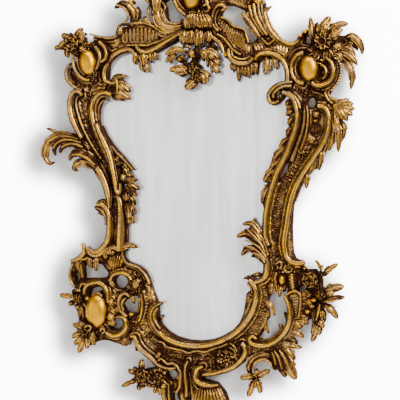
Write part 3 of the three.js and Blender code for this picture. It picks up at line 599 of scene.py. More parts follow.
leaf("-214,488 -219,466 -222,447", 20, LEAF_FRONT, 3)
leaf("-207,484 -206,466 -202,450", 13, LOW, 1)
leaf("-188,484 -189,462 -188,441", 28, RAISED, 2)
leaf("-193,452 -198,436 -186,420", 11, LEAF_FRONT, 0)
leaf("-183,452 -180,436 -171,419", 12, LEAF_FRONT, 0)
leaf("-168,486 -168,468 -166,452", 16, LEAF_FRONT, 1)
leaf("-152,490 -151,474 -146,459", 16, LEAF_FRONT, 1)

# Above what the picture shows, kept close to the carving below it
bead("-136,640 -146,660 -150,690", [16, 20, 14], RAISED)
star([-148, 676], "-106,690 -136,714 -186,704 -188,656 -128,650", PROUD)
made("Crest, left part")


# %% Crest, middle
# Boss, gold shell and the bundle of flutes
dome([-28, 660], 31, 45, BOSS_FRONT)
bead("-106,672 -88,656 -78,635 -64,615 -42,598", 9, RAISED)
bead("-90,684 -74,650 -58,626 -38,606", 5, LEAF_FRONT)
bead("22,596 28,624 22,650 22,678 8,706", 11, RAISED)
bead("14,628 24,633 33,622 26,610 15,613", 5, PROUD)
star([-28, 702], "14,700 8,720 -28,725 -64,717 -68,696 -28,676", BOSS_FRONT)
for x in (-44, -30, -16, -2, 12, 26, 38):
    leaf([[x * 0.5 - 4, 606], [x * 0.85 - 2, 584], [x * 1.05, 554]], 15, BOSS_FRONT + 3, 1)
flecks("-44,588 -30,610 20,612 38,590 30,560 -40,560", 10, BOSS_FRONT)
leaf("-48,552 -54,528 -54,504", 20, PROUD, 0, blunt=8)
leaf("-37,552 -37,526 -38,504", 12, PROUD, 0, blunt=8)
leaf("-27,552 -25,526 -31,506", 12, BOSS_FRONT, 0, blunt=8)
leaf("-8,554 -6,526 -9,497", 14, BOSS_FRONT, 0, blunt=8)
leaf("4,550 6,526 8,504", 13, BOSS_FRONT, 0, blunt=8)
leaf("17,546 17,528 18,514", 8, PROUD, 0, blunt=8)
leaf("28,550 31,530 24,513", 15, PROUD, 0, blunt=8)
bead("-16,552 -18,530 -22,508", 5, LEAF_FRONT)
made("Crest, middle")


# %% Hanging flowers
# Flowers and leaves that hang over the glass
leaf("-10,506 -12,482 -2,458", 16, LEAF_FRONT, 0)
leaf("-8,470 -26,440 -10,384", 20, LOW, 3)
bead("-56,496 -42,500 -28,495", [6, 8, 5], PROUD)
leaf("-44,484 -74,489 -98,482 -113,474", 20, BLOOM_FRONT, 1)
leaf("-78,486 -84,493 -85,500", 9, PROUD, 0)
leaf("-84,476 -100,464 -113,449", 15, BOSS_FRONT, 2)
leaf("-78,476 -93,462 -98,446", 16, BOSS_FRONT, 2)
leaf("-50,470 -68,462 -82,458", 14, PROUD, 1)
dome([-66, 456], 12, 7, BOSS_FRONT)
leaf("-36,490 -25,476 -22,458", 14, BOSS_FRONT, 1)
leaf("-48,484 -40,474 -34,462", 10, PROUD, 1)
flower([-44, 441], 12, BOSS_FRONT, 5, 0.2)
dome([-24, 442], 6, 6, PROUD)
dome([-66, 436], 10, 8, PROUD)
leaf("-16,448 -6,438 5,431", 9, LEAF_FRONT, 0)
leaf("-38,426 -64,421 -84,425 -99,420", 24, BLOOM_FRONT, 0)
leaf("-36,416 -54,409 -74,414", 16, BOSS_FRONT, 1)
bead("-46,432 -48,420 -38,408", 5, BLOOM_FRONT - 2)
flower([-21, 421], 17, BLOOM_FRONT - 2, 6, 0.0)
leaf("-8,421 12,415 24,410 36,399", 16, BOSS_FRONT, 1)
leaf("0,414 12,398 16,375", 30, BOSS_FRONT + 2, 1, blunt=6)
leaf("-16,410 -22,398 -22,384", 16, BOSS_FRONT, 1)
leaf("-24,396 -38,388 -49,386", 10, PROUD, 0)
leaf("-14,386 -32,374 -46,359", 22, BLOOM_FRONT - 4, 1, blunt=6)
leaf("-6,384 -16,372 -28,361", 14, BOSS_FRONT, 1)
flower([-4, 395], 13, BLOOM_FRONT, 5, 0.6)
leaf("2,484 22,470 32,448", 16, BOSS_FRONT, 0, blunt=5)
leaf("4,470 12,460 13,449", 9, PROUD, 0)
leaf("14,482 42,476 67,455", 20, BOSS_FRONT, 0)
leaf("30,472 42,464 48,452", 12, BLOOM_FRONT - 4, 0)
leaf("26,456 28,444 25,430", 9, PROUD, 0)
leaf("38,456 43,436 40,410", 14, BOSS_FRONT, 2)
leaf("42,454 56,446 67,434", 18, BOSS_FRONT, 1)
leaf("44,440 54,424 67,412", 16, BOSS_FRONT, 2)
leaf("42,436 50,422 52,410", 10, PROUD, 1)
flecks("2,500 20,508 34,500 30,486 10,486", 9, LEAF_FRONT)
leaf("36,506 46,498 52,486", 14, LEAF_FRONT, 1)
bead("22,534 28,505 28,470", 9, LOW)
made("Hanging flowers")


# %% Crest, right part
# Scroll, oyster shell, the two arch beads and their fringe
bead("14,700 55,694 95,685 150,668 196,650 212,632", [9, 14, 12], LEAF_FRONT)
ridges("40,692 90,680 140,666 180,650", "44,652 90,644 130,635 165,628")
dome([190, 640], 17, 15, RAISED)
bead("60,628 76,631 83,620 72,612", [5, 9, 5], RAISED)
bead("76,628 62,631 50,618 43,600 42,578 48,561 62,546", [5, 7, 6], RAISED)
bead("64,618 54,602 50,582 56,563 70,549", 5, LEAF_FRONT)
bead("34,604 33,580 38,558 52,542", 5, LEAF_FRONT)
flecks("54,606 66,600 68,582 54,580", 6, LOW)
ridges("70,590 90,580 110,561 140,551 151,530 160,506", "60,544 80,528 100,505 116,482 140,468 "
       "166,466", 8, LOW)
bead("70,592 92,582 108,564 126,557 147,548 153,530 160,507", 5, LEAF_FRONT)
bead("58,536 78,525 92,508 106,489 122,476 136,468", [4, 6, 4], RAISED)
flecks("96,518 108,512 118,490 106,486 94,502", 7, BEAD_FRONT)
bead("34,534 52,520 67,506 75,490 78,476", [8, 13, 10], RAISED)
bead("46,540 66,528 82,510 88,490", [5, 8, 5], BEAD_FRONT)
dome([84, 470], 9, 9, LEAF_FRONT)
bead("96,488 96,469 106,453 123,443 142,440 160,444 174,458", [9, 14, 11], RAISED)
bead("106,482 109,467 124,457 148,454 166,463", [4, 6, 4], RAISED)
bead("182,450 188,464 206,471 230,471 255,462 272,446 283,424 287,400 286,374",
     [9, 13, 12], RAISED)
bunch("104,446 102,420 10  114,444 112,417 11  127,440 125,384 13  140,438 138,402 11  "
      "150,436 148,398 10  160,438 158,394 11  171,444 169,404 12  184,448 182,403 11",
      (0, 0), 1, LEAF_FRONT)
leaf("216,462 219,434 211,404", 28, LEAF_FRONT, 3)
leaf("236,460 245,440 249,421", 20, LEAF_FRONT, 2)
leaf("196,466 197,456 190,446", 14, LOW, 1)
ridges("172,504 200,502 225,494 258,502 288,492", "184,472 208,480 250,478 284,452", 10, LOW)
bead("162,626 172,590 192,556 210,530", [8, 9, 6], LEAF_FRONT)
bead("177,630 184,592 202,556 222,528", [9, 10, 7], RAISED)
bead("191,632 196,596 210,562 232,530", [8, 9, 6], LEAF_FRONT)
bead("202,632 205,600 217,566 242,530", 5, BEAD_FRONT)
leaf("260,512 231,546 217,580 214,606 235,624", 19, RAISED, 0, root=0.7)
leaf("196,526 172,560 152,588 136,607", 22, LEAF_FRONT, 0, blunt=5)
bead("203,520 213,509 224,500 235,507 248,519", 5, LEAF_FRONT)
flecks("176,500 192,520 204,512 196,496", 9, LOW)
made("Crest, right part")


# %% Upper right corner
# Boss, rims, the large flower and its leaves
dome([356, 421], 34, 47, BOSS_FRONT)
bead("338,470 316,462 303,442 299,420 303,398 316,380 338,369", 10, RAISED)
bead("352,484 326,484 306,476 294,458 288,440 286,422", 8, LOW)
bead("410,452 424,440 432,424 434,404 428,386 414,372 394,364 374,366 366,374", [7, 12, 9], PROUD)
bead("420,458 440,440 446,410 441,382 424,360 396,349", [6, 8, 6], LEAF_FRONT)
bead("392,430 404,424 410,410 408,394 398,384", [5, 8, 5], RAISED)
pearls("446,446 457,424 456,398 446,370 428,348", 9, RAISED)
bead("262,514 285,501 303,499 318,507 326,518", [8, 11, 8], LEAF_FRONT)
dome([328, 524], 10, 9, PROUD)
dome([342, 536], 11, 9, RAISED)
dome([354, 542], 8, 7, RAISED)
leaf("370,508 364,548 359,584", 20, PROUD, 3)
leaf("374,520 374,545 383,567", 14, RAISED, 1)
leaf("398,512 402,545 424,582", 34, BLOOM_FRONT - 4, 2)
leaf("402,520 408,548 410,566", 16, BLOOM_FRONT, 1)
leaf("420,512 430,536 428,562", 20, PROUD, 1)
leaf("426,520 446,552 481,558", 24, BLOOM_FRONT - 6, 2)
leaf("420,508 446,526 463,542", 22, BLOOM_FRONT - 2, 2)
leaf("414,492 440,505 462,520", 18, PROUD, 2)
leaf("372,502 360,520 352,534", 14, RAISED, 1)
leaf("384,490 366,478 346,470", 18, RAISED, 2)
leaf("392,486 378,462 372,436", 18, PROUD, 2)
leaf("404,484 404,460 398,432", 16, PROUD, 2)
leaf("412,488 428,466 440,446", 20, PROUD, 2)
for k, (dx, dz, width) in enumerate((
        (-22, 8, 18), (-16, 24, 16), (6, 30, 20), (24, 22, 20), (32, 2, 18), (24, -18, 20),
        (4, -26, 20), (-18, -16, 18))):
    tip = np.array([398.0 + dx, 502.0 + dz])
    petal([398 + dx * 0.35, 502 + dz * 0.35], tip, width, BLOOM_FRONT - 3 * (k % 2))
eye([398, 502], 14, BLOOM_FRONT)
flecks("356,480 376,492 408,478 440,492 452,470 438,446 410,452 392,428 368,440 352,466",
       11, PROUD)
eye([466, 499], 11, BOSS_FRONT)
leaf("456,500 462,512 474,520", 12, RAISED, 0)
leaf("460,504 490,516 512,500 523,476 522,458", 20, [50, 66, 56], 0)
leaf("462,494 484,498 500,488 510,472", 15, [46, 58, 50], 0)
leaf("456,486 480,482 494,466 503,454", 16, PROUD, 0)
leaf("452,470 478,462 496,444 509,426", 18, PROUD, 0)
leaf("446,460 472,440 488,410 492,380 486,350", 24, [46, 54, 48], 4)
leaf("440,470 452,456 462,438", 16, PROUD, 1)
leaf("430,486 450,488 460,474", 18, BOSS_FRONT, 2)
made("Upper right corner")


# %% Right upright
# Hook over the glass, twin beads, a channel of buds, leaves on both sides
bead("302,376 276,374 252,366 235,352 226,334 230,317 244,311 258,318", [8, 11, 11, 6], RAISED)
bead("300,364 272,362 253,352 242,338 242,327", [6, 7, 5], PROUD)
eye([247, 325], 9, RAISED)
leaf("272,350 264,334 262,318", 12, LEAF_FRONT, 1)
flecks("300,384 330,366 352,350 350,330 330,332 306,352 290,368", 8, LOW)
flecks("352,352 392,346 404,326 384,322 368,334 350,332", 8, LOW)
bead("270,346 288,339 302,326 311,308 316,288 318,265 315,240 309,216 300,192 292,170 282,147 "
     "268,120 253,90 243,60 234,30 226,0 220,-30 216,-60 215,-90 216,-120 224,-146", [11, 14, 14],
     RAISED)
bead("288,346 306,333 320,314 328,292", [6, 9, 5], RAISED)
bead("338,306 340,270 335,232 324,196 312,165 297,124", [7, 13, 16], LOW)
bead("348,300 352,264 350,238 345,208 337,182 328,160", [4, 5, 4], BEAD_FRONT)
bead("360,358 366,346 384,340 404,330", 5, LOW)
bead("384,299 401,297 412,286 419,268 420,244 416,218 407,194 394,170 377,146 359,120 341,94 "
     "325,68 312,43 302,16 294,-14 288,-46 283,-80 278,-110 275,-140 277,-160 284,-182 298,-197 "
     "318,-202 340,-199", [12, 15, 14], RAISED)
bead("390,288 402,278 407,258 406,232 398,204 384,178", [4, 5, 4], LOW)
bead("348,82 334,54 322,26 312,-4", [4, 6, 4], LOW)
leaf("374,284 377,272 376,258", 12, BEAD_FRONT, 0)
dome([375, 252], 7, 6, BEAD_FRONT)
flower([374, 227], 13, LEAF_FRONT, 5, 0.4)
leaf("366,206 362,192 356,178", 17, BEAD_FRONT, 2)
leaf("356,282 352,266 358,248", 12, LOW, 2)
leaf("350,176 344,166 336,158", 12, LOW, 2)
flecks("344,176 364,172 350,130 330,100 310,100 322,136 334,160", 10, LOW)
flecks("308,122 332,108 316,76 296,56 276,70 296,104", 10, LOW)
flecks("270,70 300,60 288,20 276,-30 246,-26 250,10 260,44", 8, 37)
flecks("242,-30 274,-36 268,-90 264,-150 244,-140 238,-80", 7, 36)
ridges("300,118 280,90 264,66 253,30 246,0 239,-30 237,-60 239,-100 243,-140 251,-180",
       "345,140 325,100 305,62 294,22 284,-20 278,-60 272,-100 268,-140 268,-172", 8, 35)
ridges("362,250 356,210 350,180", "402,268 400,214 378,172", 9, 33)
bead("412,356 408,338 416,320 432,306", [5, 7, 5], LEAF_FRONT)
bead("422,352 417,338 426,324 446,316 470,315 484,304", [5, 7, 5], LEAF_FRONT)
dome([440, 298], 14, 11, LEAF_FRONT)
for tip in spots("482,320 496,306 500,288 494,268 478,250 460,252"):
    leaf([[436, 300], [(440 + tip[0]) / 2 + 2, (300 + tip[1]) / 2], tip], 18, RAISED, 0, blunt=6)
flecks("424,304 434,296 440,276 428,262 422,284", 7, BEAD_FRONT)
leaf("436,280 440,250 450,205 447,151", 24, RAISED, 4)
leaf("452,256 466,232 464,206 461,190", 18, LEAF_FRONT, 2)
leaf("438,262 447,240 458,226", 14, PROUD, 1)
leaf("430,232 430,200 418,157", 20, LEAF_FRONT, 3)
leaf("414,206 410,176 394,137", 20, BEAD_FRONT, 3)
leaf("422,196 416,176 412,160", 12, BEAD_FRONT, 1)
leaf("394,168 391,130 385,93", 20, BEAD_FRONT, 3)
leaf("380,136 376,112 376,96", 13, LOW, 1)
leaf("370,132 364,106 353,80", 20, BEAD_FRONT, 3)
leaf("348,92 348,64 344,36", 18, BEAD_FRONT, 2)
leaf("338,78 336,64 332,52", 12, LOW, 1)
bunch("304,318 279,300 18  306,300 279,287 12  308,284 279,271 16  310,264 287,239 20  "
      "304,236 284,199 20  298,200 257,167 18  286,172 234,121 24  270,134 225,90 24  "
      "258,104 206,58 28  238,56 201,-13 28  246,70 214,62 14", (-4, 5), 3, LOW)
made("Right upright")


# %% Left upright
# Twin beads round a dark channel, sprays that curl outwards, leaves over the glass
bead("-400,346 -408,357 -424,361 -436,350 -441,328 -441,302 -436,278 -427,254 -415,230 -401,205",
     [8, 14, 15, 11], RAISED)
bead("-404,348 -416,342 -421,322 -418,300 -411,276 -402,250 -391,226 -377,200 -362,176 -347,154 "
     "-334,136", [4, 6, 6, 4], BEAD_FRONT)
bead("-404,204 -390,184 -374,164 -358,146", 5, LOW)
eye([-393, 316], 19, 27)
eye([-391, 334], 12, 27)
flecks("-408,362 -384,366 -366,350 -370,336 -400,340", 8, LOW)
flecks("-410,296 -378,300 -366,250 -352,200 -330,150 -344,148 -380,205", 9, 37)
ridges("-404,292 -396,262 -380,222 -352,178 -334,146", "-378,296 -374,262 -362,222 -338,172 "
       "-322,140", 12, 33)
bead("-300,346 -318,354 -338,352 -353,340 -362,322 -366,298 -364,274 -358,248 -350,226 -340,202 "
     "-329,178 -318,154 -308,128", [10, 15, 15, 8], RAISED)
bead("-304,338 -326,343 -342,336 -351,318 -354,296 -352,270 -345,246", [4, 7, 7], BEAD_FRONT)
bead("-306,332 -324,331 -336,322 -344,304 -345,280 -342,254", [4, 6, 4], LOW)
bead("-370,330 -375,300 -372,270 -364,240 -352,208 -338,176", [4, 6, 4], LOW)
bead("-346,250 -338,226 -327,202 -316,178 -305,154 -298,130 -292,104 -286,78 -281,52 -277,30 "
     "-271,22 -265,34 -264,54", [8, 18, 16, 11, 6], BOSS_FRONT)
bead("-322,150 -312,124 -303,98 -295,72 -289,46", [4, 6, 4], BEAD_FRONT)
bead("-338,252 -330,230 -319,206 -304,182 -285,160 -262,138 -240,116 -225,100", [5, 9, 8, 4],
     LEAF_FRONT)
leaf("-335,246 -322,212 -300,176 -266,140 -221,96", 17, LOW, 0)
bead("-279,22 -272,2 -268,-20 -267,-50 -268,-80 -269,-110 -270,-140 -272,-168", [12, 24, 31, 31],
     RAISED)
bead("-292,20 -286,-20 -285,-60 -286,-100 -288,-140", [4, 7, 7], LOW)
eye([-290, -42], 5, 34)
frond("-398,196 -436,209 -466,214 -497,207 -518,190 -530,166 -529,140 -516,123 -500,128", 30,
      CURLING)
bead("-412,202 -440,210 -468,213 -494,207 -514,192", [3, 5, 3], RAISED)
bead("-436,217 -470,221 -500,214 -522,196", [3, 4, 3], LEAF_FRONT)
leaf("-484,223 -508,234 -529,241", 11, LEAF_FRONT)
frond("-388,182 -440,199 -470,199 -490,187 -500,168 -499,149", 24, CURLING)
bead("-400,190 -440,200 -468,198 -487,187 -497,172", [3, 5, 3], PROUD)
frond("-380,164 -430,187 -455,186 -472,174 -483,157", 23, CURLING)
bead("-394,175 -428,187 -452,184 -468,174", [4, 7, 4], PROUD)
frond("-346,116 -384,147 -416,159 -438,149 -450,131", 28, CURLING)
bead("-352,116 -380,139 -408,151 -430,150", [5, 7, 4], BOSS_FRONT)
frond("-336,90 -366,118 -398,126 -422,118 -430,104 -420,96", 30, CURLING)
bead("-352,108 -376,126 -404,131", [3, 5, 3], PROUD)
leaf("-404,205 -386,180 -368,158", 13, LEAF_FRONT, 2)
flecks("-400,200 -384,196 -340,130 -310,60 -318,50 -350,110 -380,160", 7, LOW)
bead("-372,136 -356,118 -341,97 -328,74 -318,50 -311,24 -307,0 -305,-28", [10, 18, 18, 8], RAISED)
bead("-348,136 -334,116 -320,92 -309,64 -301,32", [4, 5, 4], LOW)
leaf("-316,26 -334,66 -363,96", 15, LOW, 1)
bead("-320,44 -334,68 -352,88", [3, 6, 4], LEAF_FRONT)
flecks("-332,130 -318,132 -298,60 -290,20 -302,6 -312,60", 8, 37)
leaf("-308,-28 -324,-4 -352,-6", 14, LEAF_FRONT, 1)
leaf("-308,-48 -330,-22 -362,-24", 16, LEAF_FRONT, 1)
bead("-348,-16 -336,-13 -322,-20 -312,-34 -306,-54 -304,-78 -305,-102 -309,-126 -318,-146 "
     "-332,-162 -350,-172 -366,-170 -380,-156", [11, 13, 16, 14, 10], RAISED)
bead("-352,-25 -338,-30 -327,-42 -320,-60 -318,-84", [5, 8, 5], BEAD_FRONT)
leaf("-312,-62 -334,-40 -362,-24", 14, LOW, 1)
leaf("-322,-54 -338,-44 -352,-46", 9, LOW, 0)
bunch("-296,158 -262,128 15 bead  -296,138 -264,112 17 raised  -274,128 -240,96 16 leaf  "
      "-286,112 -278,74 14 bead  -262,108 -244,74 18 leaf  -270,86 -254,52 16 raised  "
      "-254,84 -226,70 16 leaf  -250,58 -212,66 16 raised  -246,50 -205,34 24 proud  "
      "-250,40 -215,12 20 raised  -258,36 -262,-12 15 bead  -252,30 -250,-8 18 raised  "
      "-244,16 -222,-18 20 leaf  -250,-4 -254,-44 14 bead  -244,-10 -218,-48 18 raised  "
      "-244,-16 -240,-62 20 proud  -244,-46 -243,-82 14 leaf  -236,-44 -227,-79 14 leaf",
      (4, 4), 2)
flower([-234, 40], 14, BOSS_FRONT, 5)
flower([-272, 122], 10, PROUD, 5, 0.5)
flower([-242, -22], 9, BOSS_FRONT, 5, 0.3)
made("Left upright")


# %% Lower left corner
# Pierced scrolls, three rings, a boss and two dark flowers
leaf("-282,-168 -262,-156 -240,-150 -213,-157", 20, LEAF_FRONT, 3)
bead("-398,-142 -392,-158 -393,-176 -404,-190 -420,-199 -438,-202", [7, 13, 13, 6], RAISED)
bead("-384,-158 -376,-174 -362,-183 -345,-182 -328,-172 -310,-161 -290,-157 -274,-162",
     [7, 13, 16, 12], RAISED)
bead("-430,-208 -440,-228 -443,-250 -438,-272 -426,-292", [5, 8, 5], BEAD_FRONT)
bead("-404,-196 -390,-196 -376,-190", [5, 9, 5], RAISED)
leaf("-404,-192 -416,-206 -424,-232", 16, LEAF_FRONT, 2)
leaf("-398,-198 -410,-214 -412,-238", 13, RAISED, 1)
leaf("-396,-202 -402,-236 -398,-268", 15, RAISED, 3)
bead("-400,-214 -398,-234 -394,-256", [3, 6, 4], PROUD)
leaf("-372,-186 -374,-204 -367,-226", 15, RAISED, 2)
leaf("-350,-184 -352,-208 -354,-236", 15, RAISED, 2)
leaf("-340,-180 -336,-192 -328,-206", 13, LEAF_FRONT, 1)
leaf("-322,-170 -318,-184 -322,-198", 12, PROUD, 1)
leaf("-300,-160 -312,-172 -330,-176", 15, PROUD, 2)
leaf("-286,-166 -302,-176 -316,-178", 13, RAISED, 1)
for x, foot, z in ((-306, -322, -222), (-298, -306, -240), (-290, -297, -247),
                   (-282, -288, -243), (-274, -279, -238), (-267, -268, -236),
                   (-262, -258, -226)):
    leaf([[x + 4, -178], [x, -206], [foot, z]], 10, [43, 45, 39], 0)
dome([-262, -203], 5, 9, RAISED)
bead("-262,-170 -259,-190 -250,-206 -230,-214 -208,-222 -190,-238 -178,-256 -170,-276", [5, 7, 7],
     BEAD_FRONT)
bead("-252,-214 -232,-221 -213,-230 -198,-244 -186,-262", [3, 6, 5], LOW)
ridges("-252,-222 -222,-236 -200,-262 -188,-310 -184,-395", "-246,-238 -222,-252 -212,-280 "
       "-203,-330 -204,-410")
flecks("-246,-232 -210,-236 -196,-262 -196,-296 -214,-306 -236,-300 -240,-256", 10, BEAD_FRONT)
leaf("-236,-256 -222,-268 -212,-290", 16, LEAF_FRONT, 3)
leaf("-206,-258 -214,-274 -222,-296", 15, RAISED, 3)
bead("-302,-268 -295,-251 -278,-241 -256,-241 -238,-250 -230,-262", [6, 10, 8], RAISED)
bead("-298,-284 -286,-294 -264,-300 -246,-296 -234,-284", [4, 6, 4], LOW)
leaf("-306,-262 -298,-274 -290,-290", 12, RAISED, 1)
bead("-405,-292 -404,-282 -396,-278 -386,-282", [4, 7, 5], LEAF_FRONT)
bead("-392,-310 -390,-294 -379,-281 -362,-274 -344,-273 -328,-280 -316,-294 -310,-312 -309,-338",
     [7, 12, 13, 9], RAISED)
bead("-320,-280 -306,-290 -301,-308 -302,-330", [4, 7, 5], BEAD_FRONT)
dome([-352, -368], 43, 62, BOSS_FRONT)
bead("-366,-316 -350,-308 -336,-313 -332,-328 -342,-334", [4, 6, 4], LEAF_FRONT)
dome([-385, -327], 13, 10, LEAF_FRONT)
dome([-336, -334], 6, 7, PROUD)
bead("-398,-342 -386,-350 -381,-366 -384,-386", [5, 9, 6], RAISED)
bead("-410,-346 -402,-358 -397,-378 -395,-402", [5, 8, 5], BEAD_FRONT)
bead("-428,-350 -418,-364 -411,-386 -406,-416", [4, 7, 4], LOW)
leaf("-404,-346 -404,-372 -410,-396", 12, LEAF_FRONT, 2)
leaf("-312,-344 -306,-372 -312,-400", 12, LEAF_FRONT, 3)
bunch("-424,-318 -474,-314 18 bloom  -426,-334 -450,-348 18 raised  "
      "-414,-344 -424,-362 16 raised  -400,-340 -388,-352 13 raised  "
      "-400,-318 -390,-302 15 raised  -412,-312 -414,-290 16 proud  "
      "-422,-314 -432,-296 14 raised", (0, -2), 1)
flower([-412, -327], 15, BLOOM_FRONT, 5)
bead("-236,-318 -250,-308 -264,-313 -272,-332 -270,-352 -260,-370 -246,-384",
     [6, 13, 15, 9], RAISED)
bead("-246,-322 -256,-330 -260,-346 -254,-362", [4, 8, 4], PROUD)
leaf("-240,-316 -226,-324 -224,-342", 12, RAISED, 1)
dome([-232, -376], 12, 8, LEAF_FRONT)
leaf("-206,-310 -202,-340 -212,-374", 11, LEAF_FRONT, 3)
bead("-198,-308 -194,-340 -198,-376 -206,-400", [4, 8, 5], BEAD_FRONT)
bead("-280,-386 -262,-385 -250,-396 -247,-414 -254,-431 -272,-443 -296,-447 -316,-438",
     [6, 11, 14, 8], RAISED)
bead("-238,-398 -236,-420 -244,-438 -262,-452", [4, 6, 4], LOW)
bunch("-300,-292 -282,-322 18 bead  -304,-314 -284,-338 18 leaf  "
      "-314,-330 -292,-352 18 raised  -312,-350 -286,-368 18 leaf  "
      "-308,-364 -282,-384 16 raised  -314,-384 -288,-396 18 proud  "
      "-296,-338 -276,-352 14 leaf  -290,-356 -270,-376 13 raised  "
      "-316,-400 -286,-416 18 raised  -330,-406 -308,-428 20 leaf  "
      "-344,-424 -318,-436 17 raised  -346,-430 -354,-448 14 leaf", (3, 4), 2)
bead("-336,-434 -326,-422 -320,-432 -330,-442", 5, RAISED)
ridges("-348,-446 -318,-452 -280,-456 -250,-446 -236,-436", "-352,-470 -322,-464 -282,-474 "
       "-248,-482 -230,-452", 8, 35)
flecks("-240,-386 -212,-380 -204,-420 -232,-450 -246,-440 -236,-410", 9, LOW)
bunch("-392,-432 -433,-412 20  -392,-440 -437,-456 22  -394,-448 -427,-482 20  "
      "-392,-452 -412,-509 22  -386,-450 -382,-493 22  -376,-440 -358,-482 17  "
      "-376,-434 -352,-466 15  -384,-428 -398,-404 17  -376,-428 -362,-414 17  "
      "-396,-424 -414,-402 14", (2, 3), 2, PROUD)
flower([-386, -436], 17, BOSS_FRONT, 6, 0.3)
bead("-384,-420 -374,-414 -364,-422 -372,-432", 5, BOSS_FRONT)
made("Lower left corner")


# %% Bottom
# Inner moulding, crinkled band, slit with its ring, flower on the left, shell below
bead("-128,-336 -142,-344 -156,-356 -163,-374 -161,-396 -150,-416 -132,-436 -108,-454 -80,-466 "
     "-45,-473 0,-474 35,-468 70,-456 104,-438 132,-416 153,-392 169,-366 180,-338 186,-310 "
     "184,-290 176,-272 162,-258", [6, 12, 17, 17, 17, 14], RAISED)
bead("-138,-352 -149,-366 -150,-386 -142,-404 -130,-420", [5, 9, 8, 4], PROUD)
leaf("-150,-346 -138,-340 -126,-340", 12, LEAF_FRONT, 1)
leaf("-142,-396 -132,-386 -127,-376", 9, LOW, 0)
bead("-152,-454 -138,-462 -124,-466 -114,-478 -96,-483 -76,-487 -56,-491 -40,-498 -24,-493 "
     "-6,-490 12,-493 30,-488 48,-480 70,-474 92,-464", [3, 6, 4], LEAF_FRONT)
ridges("-186,-444 -160,-462 -128,-482 -80,-498 -30,-504 20,-500 64,-486 120,-452",
       "-192,-470 -166,-492 -130,-510 -84,-524 -34,-530 20,-536 70,-540 132,-500", 11, 36)
flecks("-196,-440 -160,-440 -130,-474 -60,-500 0,-500 60,-486 60,-545 10,-542 -30,-520 -90,-524 "
       "-130,-510 -180,-476", 12, 39)
flecks("60,-494 88,-484 112,-502 112,-524 84,-540 62,-542", 13, RAISED)
flecks("104,-466 124,-452 134,-470 130,-500 112,-496", 8, BEAD_FRONT)
for z in (-470, -484, -498):
    bead([[98, z + 8], [112, z - 2], [122, z - 20]], [3, 5, 3], BEAD_FRONT)
bead("-236,-444 -226,-438 -213,-436 -203,-444 -198,-460 -188,-476 -172,-490 -154,-503 -136,-512",
     [4, 6, 5], LEAF_FRONT)
bead("-232,-448 -220,-448 -213,-462 -206,-480 -192,-494 -174,-508 -156,-524 -140,-538 -118,-546 "
     "-98,-549 -78,-546", [7, 14, 14, 8], RAISED)
leaf("-210,-474 -214,-488 -218,-500", 12, LOW, 1)
leaf("-146,-520 -138,-508 -136,-494", 13, PROUD, 2)
bead("-136,-524 -127,-517 -118,-525 -106,-534 -92,-531 -78,-537 -68,-550 -61,-566",
     [4, 7, 5], PROUD)
leaf("-60,-612 -58,-566 -50,-544 -36,-514", 26, RAISED, 3)
bead("-38,-522 -47,-544 -47,-574 -43,-604 -44,-640", [4, 8, 6], PROUD)
bead("-62,-552 -64,-580 -67,-610 -78,-628", [4, 8, 5], PROUD)
bead("-72,-578 -64,-616 -54,-652 -42,-698", [16, 24, 12], LEAF_FRONT)
bead("-34,-560 -30,-600 -24,-640 -22,-690", [5, 9, 6], LEAF_FRONT)
leaf("-58,-586 -72,-610 -92,-634", 24, LEAF_FRONT, 2)
bead("-14,-538 -23,-552 -27,-572 -22,-596 -6,-616", [4, 6, 4], BEAD_FRONT)
bead("12,-539 -2,-544 -12,-556 -14,-572 -8,-587 8,-596 30,-600 62,-597", [8, 15, 13, 5], PROUD)
bead("4,-600 28,-607 54,-606", [4, 5, 3], LEAF_FRONT)
bead("10,-566 40,-563 66,-555 92,-546 114,-535 132,-520 145,-502 150,-484 146,-470 138,-462",
     [9, 13, 15, 11], RAISED)
bead("50,-548 52,-560 60,-566", [4, 6, 4], BEAD_FRONT)
bead("126,-472 132,-488 126,-506", [4, 7, 4], LOW)
for k, low in enumerate((-699, -707, -709, -709, -708, -704, -700, -690, -672)):
    start, middle = [-6 + 7 * k, -608 + 1.5 * k], [-16 + 11 * k, -655 + 2 * k]
    leaf([start, middle, [-34 + 15.5 * k, low]], 16, [46, 52, 46], 0, root=0.6, blunt=6)
flecks("20,-612 60,-606 84,-640 84,-668 50,-680 20,-670", 8, LEAF_FRONT)
bead("-124,-600 -120,-640 -110,-672 -84,-691 -44,-694", [12, 18, 12], BEAD_FRONT)
bead("-104,-600 -103,-640 -96,-668 -74,-683", [4, 7, 5], LEAF_FRONT)
bead("-124,-574 -120,-592 -108,-602", [3, 6, 4], LEAF_FRONT)
flecks("-130,-548 -116,-556 -118,-620 -140,-606", 8, LEAF_FRONT)
flower([-141, -585], 19, PROUD, 6, 0.2)
bunch("-150,-604 -165,-612 13  -146,-610 -156,-634 14  -136,-612 -138,-640 14  "
      "-128,-600 -118,-620 13  -146,-566 -160,-552 13  -136,-564 -136,-544 14  "
      "-126,-570 -116,-556 12", (2, 0), 1, RAISED)
bunch("-194,-560 -196,-523 20  -204,-562 -224,-548 15  -208,-568 -243,-558 16  "
      "-212,-586 -238,-602 17  -226,-594 -266,-614 15  -200,-600 -206,-626 17  "
      "-190,-600 -188,-618 15  -176,-598 -160,-612 17  -172,-566 -156,-560 16  "
      "-174,-582 -154,-582 14", (0, -2), 1, PROUD)
flower([-190, -579], 26, BLOOM_FRONT, 5, 0.5)
eye([-190, -579], 11, BLOOM_FRONT)
made("Bottom")


